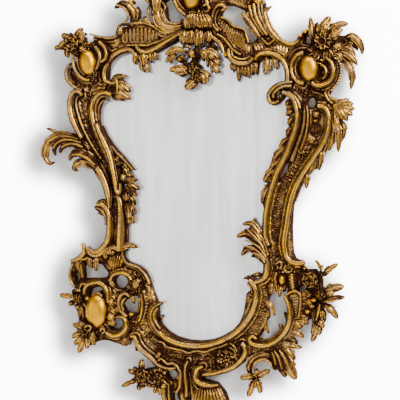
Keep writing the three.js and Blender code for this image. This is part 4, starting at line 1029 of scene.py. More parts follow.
# %% Lower right corner
# Large scroll round an opening, ribbed band, hook with a flower, leaves
bead("186,-446 172,-438 163,-446 166,-458 182,-466 206,-468 232,-461 256,-446 276,-424 289,-398 "
     "295,-370 293,-346 286,-326 277,-308", [6, 14, 14, 14, 7], RAISED)
bead("278,-300 286,-316 296,-340 302,-366", [4, 5, 4], LEAF_FRONT)
bead("196,-452 226,-447 250,-432 268,-410", [4, 8, 5], LOW)
leaf("288,-404 287,-380 273,-359", 15, LOW, 0)
leaf("270,-424 266,-410 256,-398", 13, LOW, 0)
ridges("192,-268 190,-300 188,-332 178,-368 164,-398 150,-430 148,-462", "216,-268 220,-300 "
       "222,-340 220,-374 208,-404 190,-434 162,-474", 8, 39)
ridges("158,-462 190,-474 230,-474 262,-456 290,-426 304,-398", "156,-486 190,-496 236,-488 "
       "276,-470 306,-440 322,-404", 8, 40)
flecks("196,-280 214,-284 218,-350 208,-400 180,-440 166,-430 190,-370", 8, 41)
leaf("208,-324 226,-334 237,-350 243,-373", 15, LEAF_FRONT, 2)
leaf("208,-376 214,-404 223,-430", 14, LOW, 1)
leaf("212,-346 224,-364 222,-384", 12, LOW, 1)
bead("206,-120 212,-140 219,-160 225,-176", [4, 7, 4], RAISED)
frond("219,-196 216,-170 204,-146 182,-124 152,-108 118,-120", 34, CURLING)
frond("218,-200 202,-172 176,-158 152,-160 134,-181", 26, CURLING)
frond("216,-208 200,-186 182,-178 166,-184", 20, CURLING)
for path in ("216,-182 200,-156 176,-138 150,-128", "216,-192 196,-168 172,-152 146,-148",
             "217,-176 206,-148 186,-122 160,-96", "214,-200 198,-178 178,-170"):
    bead(path, [5, 6, 3], PROUD)
leaf("216,-166 200,-118 180,-86 176,-56", 24, LEAF_FRONT, 3)
leaf("206,-130 186,-94 166,-76 138,-78", 22, RAISED, 3)
leaf("210,-150 188,-112 160,-88", 18, PROUD, 2)
bead("214,-172 219,-196 221,-220 216,-242 203,-256 186,-263 170,-268", [12, 18, 16, 9], RAISED)
frond("182,-292 174,-262 158,-251 140,-254", 17, BEAD_FRONT)
leaf("204,-244 188,-241 164,-246", 13, LOW, 1)
bead("172,-300 168,-282 156,-270", [4, 6, 4], LEAF_FRONT)
flecks("228,-150 244,-150 252,-196 240,-240 228,-200", 9, LOW)
ridges("226,-150 231,-196 232,-240", "242,-150 246,-196 244,-236", 9, 37)
flecks("246,-190 300,-206 326,-216 322,-230 262,-236 246,-220", 11, BEAD_FRONT)
bead("282,-208 276,-220 284,-230 298,-228 302,-216", [4, 7, 4], LEAF_FRONT)
dome([317, -212], 16, 7, BEAD_FRONT)
bead("250,-204 262,-196 268,-208 262,-220", [4, 7, 4], LEAF_FRONT)
dome([268, -256], 12, 18, RAISED)
bead("252,-232 246,-250 250,-270", [4, 8, 4], LEAF_FRONT)
for z in (-243, -252, -262, -271, -280):
    leaf([[280 - (z + 243) / 5, z - 6], [298, z - 1], [320, z + 4]], 11, [LOW, RAISED, LOW], 0)
leaf("232,-262 236,-280 231,-304", 20, LEAF_FRONT, 3)
leaf("246,-264 250,-278 252,-296", 15, BEAD_FRONT, 2)
leaf("264,-274 262,-292 258,-312", 14, LEAF_FRONT, 2)
leaf("276,-268 276,-282 272,-296", 12, LOW, 1)
bead("282,-304 296,-294 314,-291 326,-300 329,-322 326,-350 322,-378", [5, 8, 6], LEAF_FRONT)
ridges("286,-302 298,-336 304,-370 298,-402", "324,-300 324,-336 324,-370 320,-398", 9, 41)
ridges("326,-298 330,-330 330,-364 326,-396", "348,-300 352,-330 352,-364 348,-392", 9, 43)
dome([351, -355], 11, 9, PROUD)
bunch("330,-302 350,-300 11  330,-316 352,-318 11  330,-330 354,-336 11  328,-350 344,-344 11  "
      "326,-368 352,-376 15  326,-384 346,-394 15  304,-390 334,-406 16", (0, 2), 0, LEAF_FRONT)
frond("168,-566 160,-540 172,-516 198,-500 226,-504 242,-524 247,-549", 22, LEAF_FRONT)
bead("178,-548 180,-528 194,-514 214,-512 232,-524 240,-540", [4, 8, 4], RAISED)
bead("184,-504 214,-494 240,-504 254,-524 256,-544", [4, 7, 4], BEAD_FRONT)
bunch("234,-484 243,-548 18 bead  242,-478 280,-570 34 leaf  252,-470 314,-575 44 raised  "
      "262,-466 304,-532 34 leaf  272,-464 309,-513 28 leaf  266,-466 302,-470 16 raised  "
      "262,-470 332,-473 18 leaf  286,-444 317,-461 18 low  292,-420 338,-440 22 bead  "
      "306,-398 330,-412 18 bead  314,-386 353,-397 20 bead", (-3, 6), 3)
for path in ("246,-482 262,-510 270,-540", "262,-480 280,-506 292,-534",
             "238,-486 246,-506 250,-526"):
    bead(path, [3, 6, 3], PROUD)
bunch("182,-570 229,-547 19  182,-570 184,-542 15  182,-570 132,-574 18  182,-570 157,-634 19  "
      "182,-570 180,-607 13  182,-570 200,-622 19", (3, 3), 2, PROUD, blunt=6)
eye([180, -571], 10, BOSS_FRONT)
made("Lower right corner")


# %% Bouquet at the right
# Two flowers, a ring flower and long leaves
bunch("392,-222 374,-191 10 proud  392,-224 397,-206 10 proud  400,-232 448,-202 18 raised  "
      "398,-240 420,-230 14 leaf  344,-226 330,-216 16 leaf  344,-244 322,-240 18 bead  "
      "346,-268 330,-270 15 bead  402,-290 467,-273 30 proud  404,-298 428,-306 13 boss  "
      "400,-318 470,-308 20 proud  404,-330 447,-377 24 proud  398,-346 404,-390 14 raised  "
      "384,-340 378,-398 16 raised  392,-344 390,-384 13 proud  374,-344 366,-392 14 raised  "
      "384,-380 402,-408 17 proud  370,-386 361,-428 11 leaf  384,-392 363,-454 22 raised  "
      "390,-402 386,-432 13 leaf  352,-282 340,-300 14 leaf  364,-300 342,-314 15 leaf  "
      "366,-316 344,-336 15 raised  366,-330 356,-350 14 raised", (3, 3), 2)
flower([360, -254], 24, BLOOM_FRONT, 6, 0.2)
eye([360, -254], 12, BLOOM_FRONT)
flower([390, -238], 14, PROUD, 5)
flower([382, -274], 13, BOSS_FRONT, 5, 0.6)
flower([394, -302], 14, BLOOM_FRONT, 5, 0.2)
dome([372, -318], 14, 9, PROUD)
leaf("408,-300 424,-296 440,-288", 12, BOSS_FRONT, 0)
bead("392,-330 386,-356 380,-380", [3, 6, 3], BOSS_FRONT)
bead("404,-322 426,-320 452,-312", [3, 6, 3], BOSS_FRONT)
made("Bouquet at the right")


# %% [markdown]
# The ground of the frame is a pierced board. Its outline, the opening for the glass and
# the piercings are flat curves, and Blender fills them and rounds their edges.

# %% Outlines of the pierced ground
OPENING = spots(
    "-20,526 -60,530 -150,482 -175,473 -200,476 -245,490 -272,484 -294,470 -307,452 -315,370 "
    "-322,348 -335,325 -342,300 -344,272 -340,250 -329,225 -284,140 -273,110 -264,70 -253,-40 "
    "-252,-100 -260,-165 -256,-188 -242,-204 -206,-217 -186,-232 -172,-256 -160,-296 -140,-344 "
    "-139,-380 -130,-408 -108,-430 -78,-447 -40,-457 0,-459 50,-452 98,-430 127,-398 141,-365 "
    "150,-302 166,-288 172,-272 200,-252 213,-236 216,-212 206,-90 210,-40 202,-12 214,14 226,52 "
    "206,58 230,76 225,90 244,106 234,121 262,146 258,167 284,184 284,200 300,222 288,239 306,258 "
    "280,273 306,286 280,300 296,322 283,338 270,322 256,309 238,304 222,312 216,330 222,350 "
    "238,368 262,380 282,384 281,405 277,424 268,438 254,450 236,458 214,459 194,448 187,404 "
    "180,428 172,404 165,424 157,394 150,422 142,400 135,422 126,384 114,428 106,414 101,447 "
    "76,486 60,503 30,522")

BOARD_EDGE = spots(
    "-150,700 -126,692 -108,676 -88,676 -50,714 -28,720 -4,714 16,700 95,692 150,676 198,656 "
    "214,636 209,590 214,565 226,545 268,514 292,506 312,512 362,542 430,534 462,500 452,462 "
    "456,412 448,384 420,336 430,322 458,304 460,280 436,258 426,205 324,38 304,-18 300,-85 "
    "302,-145 304,-168 312,-186 340,-200 334,-222 378,-220 398,-254 398,-275 410,-295 412,-325 "
    "390,-370 352,-384 344,-398 326,-402 272,-480 264,-504 228,-508 192,-504 176,-515 166,-536 "
    "154,-500 146,-524 116,-549 82,-564 16,-574 10,-584 56,-594 82,-624 92,-650 92,-674 76,-690 "
    "0,-698 -30,-692 -86,-694 -106,-678 -128,-622 -172,-598 -206,-580 -196,-558 -150,-548 "
    "-150,-532 -196,-492 -222,-450 -232,-452 -242,-480 -326,-461 -345,-466 -380,-486 -396,-480 "
    "-416,-430 -412,-400 -424,-350 -430,-296 -448,-268 -452,-240 -444,-206 -418,-196 -404,-166 "
    "-386,-166 -350,-176 -332,-168 -318,-150 -306,-90 -308,-60 -324,-20 -312,-8 -311,10 -326,62 "
    "-340,88 -402,155 -406,208 -428,255 -441,315 -440,345 -430,374 -454,412 -454,435 -430,458 "
    "-428,478 -458,502 -460,528 -440,544 -392,544 -392,530 -378,523 -366,530 -368,544 -300,535 "
    "-284,544 -278,566 -206,588 -182,596 -166,580 -160,584 -168,612 -174,688")


def oval(centre, rx, rz, sides=20):
    a = np.linspace(0, 2 * math.pi, sides, endpoint=False)
    return [(centre[0] + rx * math.cos(t), centre[1] + rz * math.sin(t)) for t in a]


PIERCINGS = [
    spots("-122,650 -114,628 -112,602 -100,582 -85,578 -60,584 -46,600 -106,662"),
    spots("84,634 110,631 150,612 136,606 142,582 184,522 176,512 163,508 148,545 114,561 "
          "100,577 72,592 70,606"),
    spots("340,505 358,500 358,518 346,526"),
    oval((362, 312), 12, 16),
    oval((257, 341), 9, 12),
    spots("288,124 283,98 254,60 276,112"),
    spots("-400,-222 -392,-210 -336,-211 -313,-240 -314,-253 -326,-260 -396,-262"),
    oval((-270, -270), 22, 21),
    spots("-378,-308 -372,-296 -358,-290 -345,-289 -332,-296 -374,-318"),
    spots("-264,-345 -254,-332 -224,-316 -211,-318 -206,-355 -212,-372 -250,-366"),
    oval((-285, -407), 19, 19),
    spots("-431,-244 -418,-246 -414,-262 -420,-275"),
    spots("-112,-562 -100,-556 -84,-560 -78,-575 -92,-588 -108,-580"),
    spots("-92,-640 -78,-634 -66,-640 -60,-662 -70,-678 -90,-676"),
    spots("238,-286 222,-322 224,-370 206,-425 190,-446 210,-450 235,-444 258,-426 274,-402 "
          "284,-372 283,-345 274,-318 286,-284 276,-275 250,-290"),
    spots("322,-285 335,-274 344,-276 342,-292 322,-296"),
]
OUTLINES = [BOARD_EDGE, OPENING, *PIERCINGS]
print("one edge, one opening and", len(PIERCINGS), "piercings")


# %% The pierced ground
GROUND_BEVEL = 2.0


def polyline(data, points, radii=None):
    """One more line of straight steps on a curve, through points in millimetres."""
    spline = data.splines.new("POLY")
    spline.points.add(len(points) - 1)
    spline.points.foreach_set("co", np.insert(np.asarray(points) * MM, 3, 1.0, axis=1).ravel())
    if radii is not None:
        spline.points.foreach_set("radius", radii * MM)
    return spline


def ground_curve(name):
    data = bpy.data.curves.new(name, "CURVE")
    data.dimensions = "2D"
    data.fill_mode = "BOTH"
    data.extrude = WEB_FRONT / 2 * MM - GROUND_BEVEL * MM
    data.bevel_depth = GROUND_BEVEL * MM
    data.bevel_resolution = 2
    data.offset = -GROUND_BEVEL * MM
    for outline in OUTLINES:
        polyline(data, [(x, z, 0.0) for x, z in outline]).use_cyclic_u = True
    thing = new_object(name, data)
    thing.rotation_euler = (math.pi / 2, 0.0, 0.0)
    thing.location = (0.0, -WEB_FRONT / 2 * MM, 0.0)
    return thing


def as_mesh(thing, name):
    """A plain mesh of what an object shows, with its place in the mesh."""
    bpy.context.view_layer.update()
    shown = thing.evaluated_get(bpy.context.evaluated_depsgraph_get())
    mesh = bpy.data.meshes.new_from_object(shown)
    mesh.transform(thing.matrix_world)
    mesh.name = name
    bpy.data.objects.remove(thing)
    return new_object(name, mesh)


ground = as_mesh(ground_curve("ground_outline"), "pierced_ground")
print("ground", len(ground.data.polygons), "faces")


# %% [markdown]
# Where no leaf or bead lies, a rococo carver never leaves the wood flat: it is hollowed
# towards each bead and crinkled like an oyster shell. A rule can do that. Every point of
# a fine grid asks for the nearest bead and the nearest cut edge. So first comes a map of
# the whole frame, in small square cells, and a quick search for the nearest line.

# %% A map of the frame
CELL = 2.5
MAP_LOW = np.array([-620.0, -760.0])
MAP_SIZE = (500, 620)
EDGE_STEP = 2.0


def filled(outlines):
    """Points of the map that lie inside the outlines, by counting the crossings."""
    grid = np.zeros(MAP_SIZE, bool)
    for outline in outlines:
        for (x0, z0), (x1, z1) in zip(outline, [*outline[1:], outline[0]]):
            low, high = (math.ceil((z - MAP_LOW[1]) / CELL) for z in sorted((z0, z1)))
            for row in range(low, high):
                x = x0 + (row * CELL + MAP_LOW[1] - z0) * (x1 - x0) / (z1 - z0)
                grid[max(0, math.ceil((x - MAP_LOW[0]) / CELL)):, row] ^= True
    return grid


def nearest(points, targets):
    """For each point, the number of the nearest target and how far it is."""
    tree = kdtree.KDTree(len(targets))
    for k, (x, z) in enumerate(targets):
        tree.insert((x, z, 0.0), k)
    tree.balance()
    found = [tree.find((x, z, 0.0))[1:] for x, z in points]
    return np.array([f[0] for f in found]), np.array([f[1] for f in found])


def closed_line(outline):
    p = np.asarray([*outline, outline[0]], float)
    run = run_of(p)
    return taken_at(np.arange(0, run[-1], EDGE_STEP), run, p)


inside = filled(OUTLINES)
print(int(inside.sum()), "points of the map lie on the frame")


# %% [markdown]
# The wood rises in a cove towards the nearest bead and rolls over at a cut edge. Small
# ridges cross the hollow at right angles to the bead, and noise warps them, so that no
# two are alike. Sculpting it by hand would take days and could not be changed afterwards.

# %% The crinkled relief
RELIEF_FOOT = WEB_FRONT - 2
LEAST_RISE, MEAN_RISE, SWELL = 2, 5, 3
EDGE_ROLL, ROLL_START = 9.0, 1.5
COVE_REACH, COVE_BELOW_BEAD, COVE_START = 9.0, 8, 2.5
CRINKLE, CRINKLE_PITCH, CRINKLE_START = 5.5, 8.5, 6
BEAD_FULLNESS = 1.35
FOOT_LINE, FOOT_PITCH = -420, 1.5  # below this line the ridges are wider apart


def noise_at(p, size, layer):
    return np.array([noise.noise((x / size, z / size, layer)) for x, z in p])


def relief_depth(p):
    """How far the crinkled wood stands out at points of the map."""
    _, to_edge = nearest(p, np.concatenate([closed_line(outline) for outline in OUTLINES]))
    widths, fronts = (np.concatenate([path[i] for path in bead_paths]) for i in (1, 2))
    runs = np.concatenate([np.arange(len(line)) * LINE_STEP for line, _, _ in bead_paths])
    which, to_bead = nearest(p, np.concatenate([line for line, _, _ in bead_paths]))
    gap = np.maximum(0, to_bead - (widths / 2 * BEAD_FULLNESS)[which])
    pitch = np.where(p[:, 1] < FOOT_LINE, FOOT_PITCH * CRINKLE_PITCH, CRINKLE_PITCH)
    waves = runs[which] / pitch + 1.3 * noise_at(p, 17, 1.0)
    ridge = (0.5 + 0.5 * np.cos(2 * np.pi * waves)) ** 0.8
    beside = 1 - np.exp(-(gap / COVE_START) ** 2)
    cove = (fronts[which] - COVE_BELOW_BEAD - WEB_FRONT) * np.exp(-(gap / COVE_REACH) ** 2)
    free = 1 - np.exp(-(gap / CRINKLE_START) ** 2)
    rise = MEAN_RISE + np.maximum(cove * beside, SWELL * noise_at(p, 40, 3.0))
    rise = rise + free * CRINKLE * ridge * (0.7 + 0.8 * noise_at(p, 11, 7.0))
    roll = np.sin(np.pi / 2 * np.clip((to_edge - ROLL_START) / EDGE_ROLL, 0, 1))
    return RELIEF_FOOT + roll * np.maximum(rise, LEAST_RISE)


def crinkled_relief(name):
    """A skin over the cells that lie wholly on the frame, closed at its back."""
    cells = inside[:-1, :-1] & inside[1:, :-1] & inside[:-1, 1:] & inside[1:, 1:]
    around = np.zeros(MAP_SIZE, int)
    for dx, dz in ((0, 0), (0, 1), (1, 0), (1, 1)):
        around[dx:MAP_SIZE[0] - 1 + dx, dz:MAP_SIZE[1] - 1 + dz] += cells
    ix, iz = np.nonzero(around)
    number = np.full(MAP_SIZE, -1)
    number[ix, iz] = np.arange(len(ix))
    p = np.stack([ix * CELL + MAP_LOW[0], iz * CELL + MAP_LOW[1]], axis=1)
    depth = relief_depth(p)
    depth[around[ix, iz] < 4] = RELIEF_FOOT
    cx, cz = np.nonzero(cells)
    faces = np.stack([number[cx, cz], number[cx + 1, cz], number[cx + 1, cz + 1],
                      number[cx, cz + 1]], axis=1)
    mesh = bpy.data.meshes.new(name)
    mesh.from_pydata((place(p, depth) * MM).tolist(), [], faces.tolist())
    shape = bmesh.new()
    shape.from_mesh(mesh)
    border = [edge for edge in shape.edges if edge.is_boundary]
    bmesh.ops.triangle_fill(shape, use_beauty=False, use_dissolve=False, edges=border)
    print("relief", len(faces), "cells, back of", len(shape.faces) - len(faces), "faces")
    shape.to_mesh(mesh)
    shape.free()
    soften(mesh)
    return new_object(name, mesh)


relief = crinkled_relief("crinkled_relief")


# %% [markdown]
# Beads, ribs, pearls and flecks repeat a thousand times, so Geometry Nodes grow them
# from the lines, points and patches that the strokes left behind. One helper makes a node
# and links it in the same step, and every growth ends alike: its forms become real
# geometry and take the finish.

# %% Nodes, made and linked in one step
def add(tree, kind, given=(), **settings):
    """A node with its settings. Each input is given as a value or as another's output."""
    node = tree.nodes.new(kind)
    for name, value in settings.items():
        setattr(node, name, value)
    for key, value in dict(given).items():
        socket = node.inputs[key]
        if isinstance(value, bpy.types.NodeSocket):
            tree.links.new(value, socket)
        elif socket.type == "RGBA" and len(value) == 3:
            socket.default_value = (*value, 1.0)
        else:
            socket.default_value = value
    return node.outputs


def math_node(tree, operation, *values):
    return add(tree, "ShaderNodeMath", dict(enumerate(values)), operation=operation)["Value"]


def attribute(tree, name, kind="FLOAT"):
    """What keep() put on a mesh, read back under its name."""
    given = {"Name": name}
    return add(tree, "GeometryNodeInputNamedAttribute", given, data_type=kind)["Attribute"]


def growth(name, steps, *numbers):
    """A node tree: the steps between what it grows on and the finished geometry."""
    tree = bpy.data.node_groups.new(name, "GeometryNodeTree")
    sockets = {"Geometry": "Geometry", **dict.fromkeys(numbers, "Float"), "Finish": "Material"}
    for socket, kind in sockets.items():
        tree.interface.new_socket(socket, in_out="INPUT", socket_type="NodeSocket" + kind)
    tree.interface.new_socket("Geometry", in_out="OUTPUT", socket_type="NodeSocketGeometry")
    entry = add(tree, "NodeGroupInput")
    real = add(tree, "GeometryNodeRealizeInstances", {"Geometry": steps(tree, entry)})
    gilded = add(tree, "GeometryNodeSetMaterial",
                 {"Geometry": real["Geometry"], "Material": entry["Finish"]})
    add(tree, "NodeGroupOutput", {"Geometry": gilded["Geometry"]})
    return tree


def grown_by(tree, thing, name, **inputs):
    modifier = thing.modifiers.new(tree.name, "NODES")
    modifier.node_group = tree
    for socket in tree.interface.items_tree:
        if socket.in_out == "INPUT" and socket.name in inputs:
            modifier[socket.identifier] = inputs[socket.name]
    return as_mesh(thing, name)


def path_curves(name, paths, fullness=1.0):
    """Paths as curves. Each point carries its half width, and lies that far behind its front."""
    data = bpy.data.curves.new(name, "CURVE")
    data.dimensions = "3D"
    for line, width, front in paths:
        half = width / 2 * fullness
        polyline(data, place(line, front - half), half)
    return new_object(name, data)


gilt = bpy.data.materials.new("old_gilding")
print(len(bead_paths), "bead paths,", len(pearl_paths), "pearl paths,",
      len(fleck_patches), "fleck patches and", len(rib_marks), "rib marks to grow on")


# %% [markdown]
# Each bead path is thickened by a half round that is drawn in the tree itself, with a
# fillet on either side. The curve's normals are all set to point out of the wall, so the
# section never twists.

# %% Beads by Geometry Nodes
# Each oval of the section: width, height, place across, place outwards, sides
BEAD_SECTION = [(0.82, 0.9, 0.0, 0.1, 14), (0.15, 0.6, 1.04, -0.35, 6),
                (0.15, 0.6, -1.04, -0.35, 6)]


def bead_steps(tree, entry):
    path = add(tree, "GeometryNodeSetCurveNormal",
               {"Curve": entry["Geometry"], "Normal": (0.0, -1.0, 0.0)}, mode="FREE")
    section = tree.nodes.new("GeometryNodeJoinGeometry")
    for width, height, across_it, outwards, sides in BEAD_SECTION:
        circle = add(tree, "GeometryNodeCurvePrimitiveCircle",
                     {"Resolution": sides, "Radius": 1.0})
        shape = add(tree, "GeometryNodeTransform", {
            "Geometry": circle["Curve"], "Scale": (height, width, 1.0),
            "Translation": (outwards, across_it, 0.0)})
        tree.links.new(shape["Geometry"], section.inputs["Geometry"])
    return add(tree, "GeometryNodeCurveToMesh", {
        "Curve": path["Curve"], "Profile Curve": section.outputs["Geometry"],
        "Fill Caps": True, "Scale": add(tree, "GeometryNodeInputRadius")["Radius"]})["Mesh"]


beads = grown_by(growth("gilded_bead", bead_steps),
                 path_curves("bead_paths", bead_paths, BEAD_FULLNESS),
                 "gilded_beads", Finish=gilt)
print("beads", len(beads.data.polygons), "faces")


# %% [markdown]
# Ribs, pearls and flecks are all small balls that stand on points. A rib's ball is turned
# and stretched along its span. A pearl's has the size of its place on the path. A fleck's
# is scattered over a patch and leans at random, like the cuts of a quick gouge.

# %% Ribs, pearls and flecks by Geometry Nodes
RIB_DROP, RIB_THICKNESS = 5.5, 0.55
PEARL_PITCH = 0.0085
FLECK_PITCH, FLECK_SINK, MOST_FLECKS = 0.0065, 0.6, 40000.0


def balls_on(tree, points, segments, rings, scale, given=()):
    ball = add(tree, "GeometryNodeMeshUVSphere",
               {"Segments": segments, "Rings": rings, "Radius": 1.0})
    given = {"Points": points, "Instance": ball["Mesh"], "Scale": scale, **dict(given)}
    return add(tree, "GeometryNodeInstanceOnPoints", given)["Instances"]


def rib_steps(tree, entry):
    span = attribute(tree, "span", "FLOAT_VECTOR")
    turn = add(tree, "FunctionNodeAlignRotationToVector", {"Vector": span}, axis="Z")
    length = add(tree, "ShaderNodeVectorMath", {0: span}, operation="LENGTH")["Value"]
    thick = math_node(tree, "MULTIPLY", attribute(tree, "width"), entry["Thickness"])
    scale = add(tree, "ShaderNodeCombineXYZ", {"X": thick, "Y": thick, "Z": length})["Vector"]
    return balls_on(tree, entry["Geometry"], 8, 8, scale, {"Rotation": turn["Rotation"]})


def pearl_steps(tree, entry):
    spread = add(tree, "GeometryNodeResampleCurve",
                 {"Curve": entry["Geometry"], "Length": entry["Pitch"]}, mode="LENGTH")
    return balls_on(tree, spread["Curve"], 8, 6, add(tree, "GeometryNodeInputRadius")["Radius"])


def uneven(tree, low, high, seed):
    given = {"Min": low, "Max": high, "Seed": seed}
    return add(tree, "FunctionNodeRandomValue", given, data_type="FLOAT_VECTOR")[0]


def fleck_steps(tree, entry):
    scatter = add(tree, "GeometryNodeDistributePointsOnFaces", {
        "Mesh": entry["Geometry"], "Distance Min": entry["Pitch"],
        "Density Max": MOST_FLECKS, "Seed": 5}, distribute_method="POISSON")
    lean = uneven(tree, (-0.5, -3.1, -0.5), (0.5, 3.1, 0.5), 11)
    stretch = uneven(tree, (0.42, 0.9, 0.8), (0.62, 1.4, 1.3), 3)
    scale = add(tree, "ShaderNodeVectorMath",
                {0: stretch, "Scale": attribute(tree, "size")}, operation="SCALE")["Vector"]
    return balls_on(tree, scatter["Points"], 7, 6, scale, {"Rotation": lean})


def rib_points(name):
    marks = np.array(rib_marks)
    start, end, front, width = marks[:, 0:2], marks[:, 2:4], marks[:, 4], marks[:, 5]
    mesh = bpy.data.meshes.new(name)
    mesh.from_pydata((place((start + end) / 2, front - RIB_DROP) * MM).tolist(), [], [])
    keep(mesh, "span", place((end - start) / 2, np.zeros(len(marks))) * MM, "FLOAT_VECTOR")
    keep(mesh, "width", width * MM)
    return new_object(name, mesh)


def fleck_field(name):
    points, faces, sizes = [], [], []
    for outline, size, front in fleck_patches:
        faces.append(list(range(len(points), len(points) + len(outline))))
        points += [(x * MM, -(front - FLECK_SINK * size) * MM, z * MM) for x, z in outline]
        sizes += [size / 2 * MM] * len(outline)
    mesh = bpy.data.meshes.new(name)
    mesh.from_pydata(points, [], faces)
    keep(mesh, "size", sizes)
    return new_object(name, mesh)


ribs = grown_by(growth("shell_ribs", rib_steps, "Thickness"), rib_points("rib_points"),
                "shell_ribs", Thickness=RIB_THICKNESS, Finish=gilt)
pearl_rows = grown_by(growth("pearl_row", pearl_steps, "Pitch"),
                      path_curves("pearl_paths", pearl_paths),
                      "pearl_rows", Pitch=PEARL_PITCH, Finish=gilt)
fleck_fill = grown_by(growth("carved_flecks", fleck_steps, "Pitch"),
                      fleck_field("fleck_patches"),
                      "carved_flecks", Pitch=FLECK_PITCH, Finish=gilt)
pieces = {
    "pierced_ground": ground,
    "crinkled_relief": relief,
    "gilded_beads": beads,
    "shell_ribs": ribs,
    "pearl_rows": pearl_rows,
    "carved_flecks": fleck_fill,
    "shell_hollows": shells.piece("shell_hollows"),
    "acanthus_leaves": leaves.piece("acanthus_leaves"),
    "flowers": blooms.piece("flowers"),
    "bosses": bosses.piece("bosses"),
}
for thing in (ribs, pearl_rows, fleck_fill):
    print(thing.name, len(thing.data.polygons), "faces")


# %% [markdown]
# Gilding wears and is burnished where a cloth reaches it, and dark wax stays where it
# doesn't. So every point gets a number for how far it stands out from what is around
# it: its own depth against the average depth nearby, and whether it faces outwards.
# The same number also paints light and shade into the gold: points sunk below their
# neighbours and faces turned away from the front are painted darker, as shade, and
# the crests are painted brighter, as a highlight.

# %% How far each point stands out
LEAST_COVER = 5  # what stands out less is the bare wall
DROP = 8  # a cell this much below its neighbours is a gap between points, and is filled
NEAR, WIDE = 1, 5
LIFT_MIDDLE = 0.6
# Each piece starts from its own level of wear and painted light.
WEAR_AND_LIGHT_USUAL = 0.50
WEAR_AND_LIGHT_BASE = {"pierced_ground": 0.56, "crinkled_relief": 0.63, "gilded_beads": 0.55,
             "flowers": 0.38, "carved_flecks": 0.44}


def blurred(grid, radius, passes=3):
    for _ in range(passes):
        for axis in (0, 1):
            pad = [(radius + 1, radius) if a == axis else (0, 0) for a in (0, 1)]
            run = np.cumsum(np.pad(grid, pad), axis=axis)
            n = 2 * radius + 1
            grid = (run[n:] - run[:-n]) if axis == 0 else (run[:, n:] - run[:, :-n])
            grid = grid / n
    return grid


def vectors(items, name):
    values = np.zeros(len(items) * 3, np.float32)
    items.foreach_get(name, values)
    return values.reshape(-1, 3)


def in_millimetres(items, name):
    return vectors(items, name).astype(float) / MM


def cell_of(p):
    ix = np.clip(((p[:, 0] - MAP_LOW[0]) / CELL).astype(int), 0, MAP_SIZE[0] - 1)
    iz = np.clip(((p[:, 2] - MAP_LOW[1]) / CELL).astype(int), 0, MAP_SIZE[1] - 1)
    return ix, iz


height = np.zeros(MAP_SIZE)
for thing in pieces.values():
    p = np.concatenate([in_millimetres(thing.data.vertices, "co"),
                        in_millimetres(thing.data.polygons, "center")])
    np.maximum.at(height, cell_of(p), -p[:, 1])
for _ in range(2):
    around = [np.roll(height, (dx, dz), (0, 1)) for dx in (-1, 0, 1) for dz in (-1, 0, 1)]
    highest = np.max(around, axis=0)
    height = np.where(height < highest - DROP, highest, height)
covered = (height > LEAST_COVER).astype(float)
near, wide = (blurred(height, radius) / np.maximum(blurred(covered, radius), 1e-3)
              for radius in (NEAR, WIDE))

for thing in pieces.values():
    mesh = thing.data
    p = in_millimetres(mesh.vertices, "co")
    cell = cell_of(p)
    facing = -vectors(mesh.vertices, "normal")[:, 1]
    lift = np.full(len(p), LIFT_MIDDLE, np.float32)
    if "lift" in mesh.attributes:
        mesh.attributes["lift"].data.foreach_get("value", lift)
        mesh.attributes.remove(mesh.attributes["lift"])
    # Points below the nearby average get darker gold, partly dark wax and partly painted shade; a
    # high lift gives brighter gold, partly a painted highlight.
    out = WEAR_AND_LIGHT_BASE.get(thing.name, WEAR_AND_LIGHT_USUAL) + np.clip((-p[:, 1] - near[cell]) / 11, -0.4, 0.35)
    out += np.clip((-p[:, 1] - wide[cell]) / 45, -0.12, 0.2) + 0.45 * (lift - LIFT_MIDDLE)
    # Faces turned away from the front get darker gold: painted shade.
    out *= 0.35 + 0.65 * np.clip((facing - 0.05) / 0.6, 0, 1)
    keep(mesh, "wear_and_painted_light", np.clip(out, 0, 1))
    print(thing.name, len(mesh.polygons), "faces, worn", round(float(out.mean()), 2))


# %% [markdown]
# In the picture the wall is almost white, and the frame throws a wide, faint shade on it,
# down to the left. The wall glows so that it stays white, and its glow is held back by
# the frame's own outline, blurred and moved aside. The carving gets only a little of
# that glow, as much as a white wall would give it, or the gold would look chalky. Seen
# from behind, and for shadows, the wall is clear.

# %% The wall and its soft shade
WALL_GAP = 0.004
WALL_GLOW, WALL_LIGHT = 11.0, 0.9
SHADE_SHIFT = (-20, -8)
SHADE_DEPTH, SHADE_BLUR, SHADE_FADE = 1.15, 13, 4.0
SHADE_MARGIN, SHADE_STEP = 60, 3


def wall_grid():
    """Points, faces and shade of the wall: a fine grid behind the frame, wide at its rim."""
    soft = blurred(np.pad(covered, SHADE_MARGIN), SHADE_BLUR)
    soft = np.roll(soft, SHADE_SHIFT, axis=(0, 1))[::SHADE_STEP, ::SHADE_STEP]
    sides = []
    for cells, map_low, low in zip(soft.shape, MAP_LOW, (-WALL_HALF, FLOOR_HEIGHT)):
        inner = (map_low + CELL * (np.arange(cells) * SHADE_STEP - SHADE_MARGIN)) * MM
        sides.append(np.concatenate([[low], inner, [WALL_HALF]]))
    x, z = np.meshgrid(*sides, indexing="ij")
    points = np.stack([x, np.full_like(x, WALL_GAP), z], axis=-1).reshape(-1, 3)
    columns, rows = x.shape
    a = (np.arange(columns - 1)[:, None] * rows + np.arange(rows - 1)).ravel()
    faces = np.stack([a, a + rows, a + rows + 1, a + 1], axis=1)
    shade = np.clip(1 - SHADE_DEPTH * np.pad(soft, 1).ravel(), 0, 1)
    return points.tolist(), faces.tolist(), shade


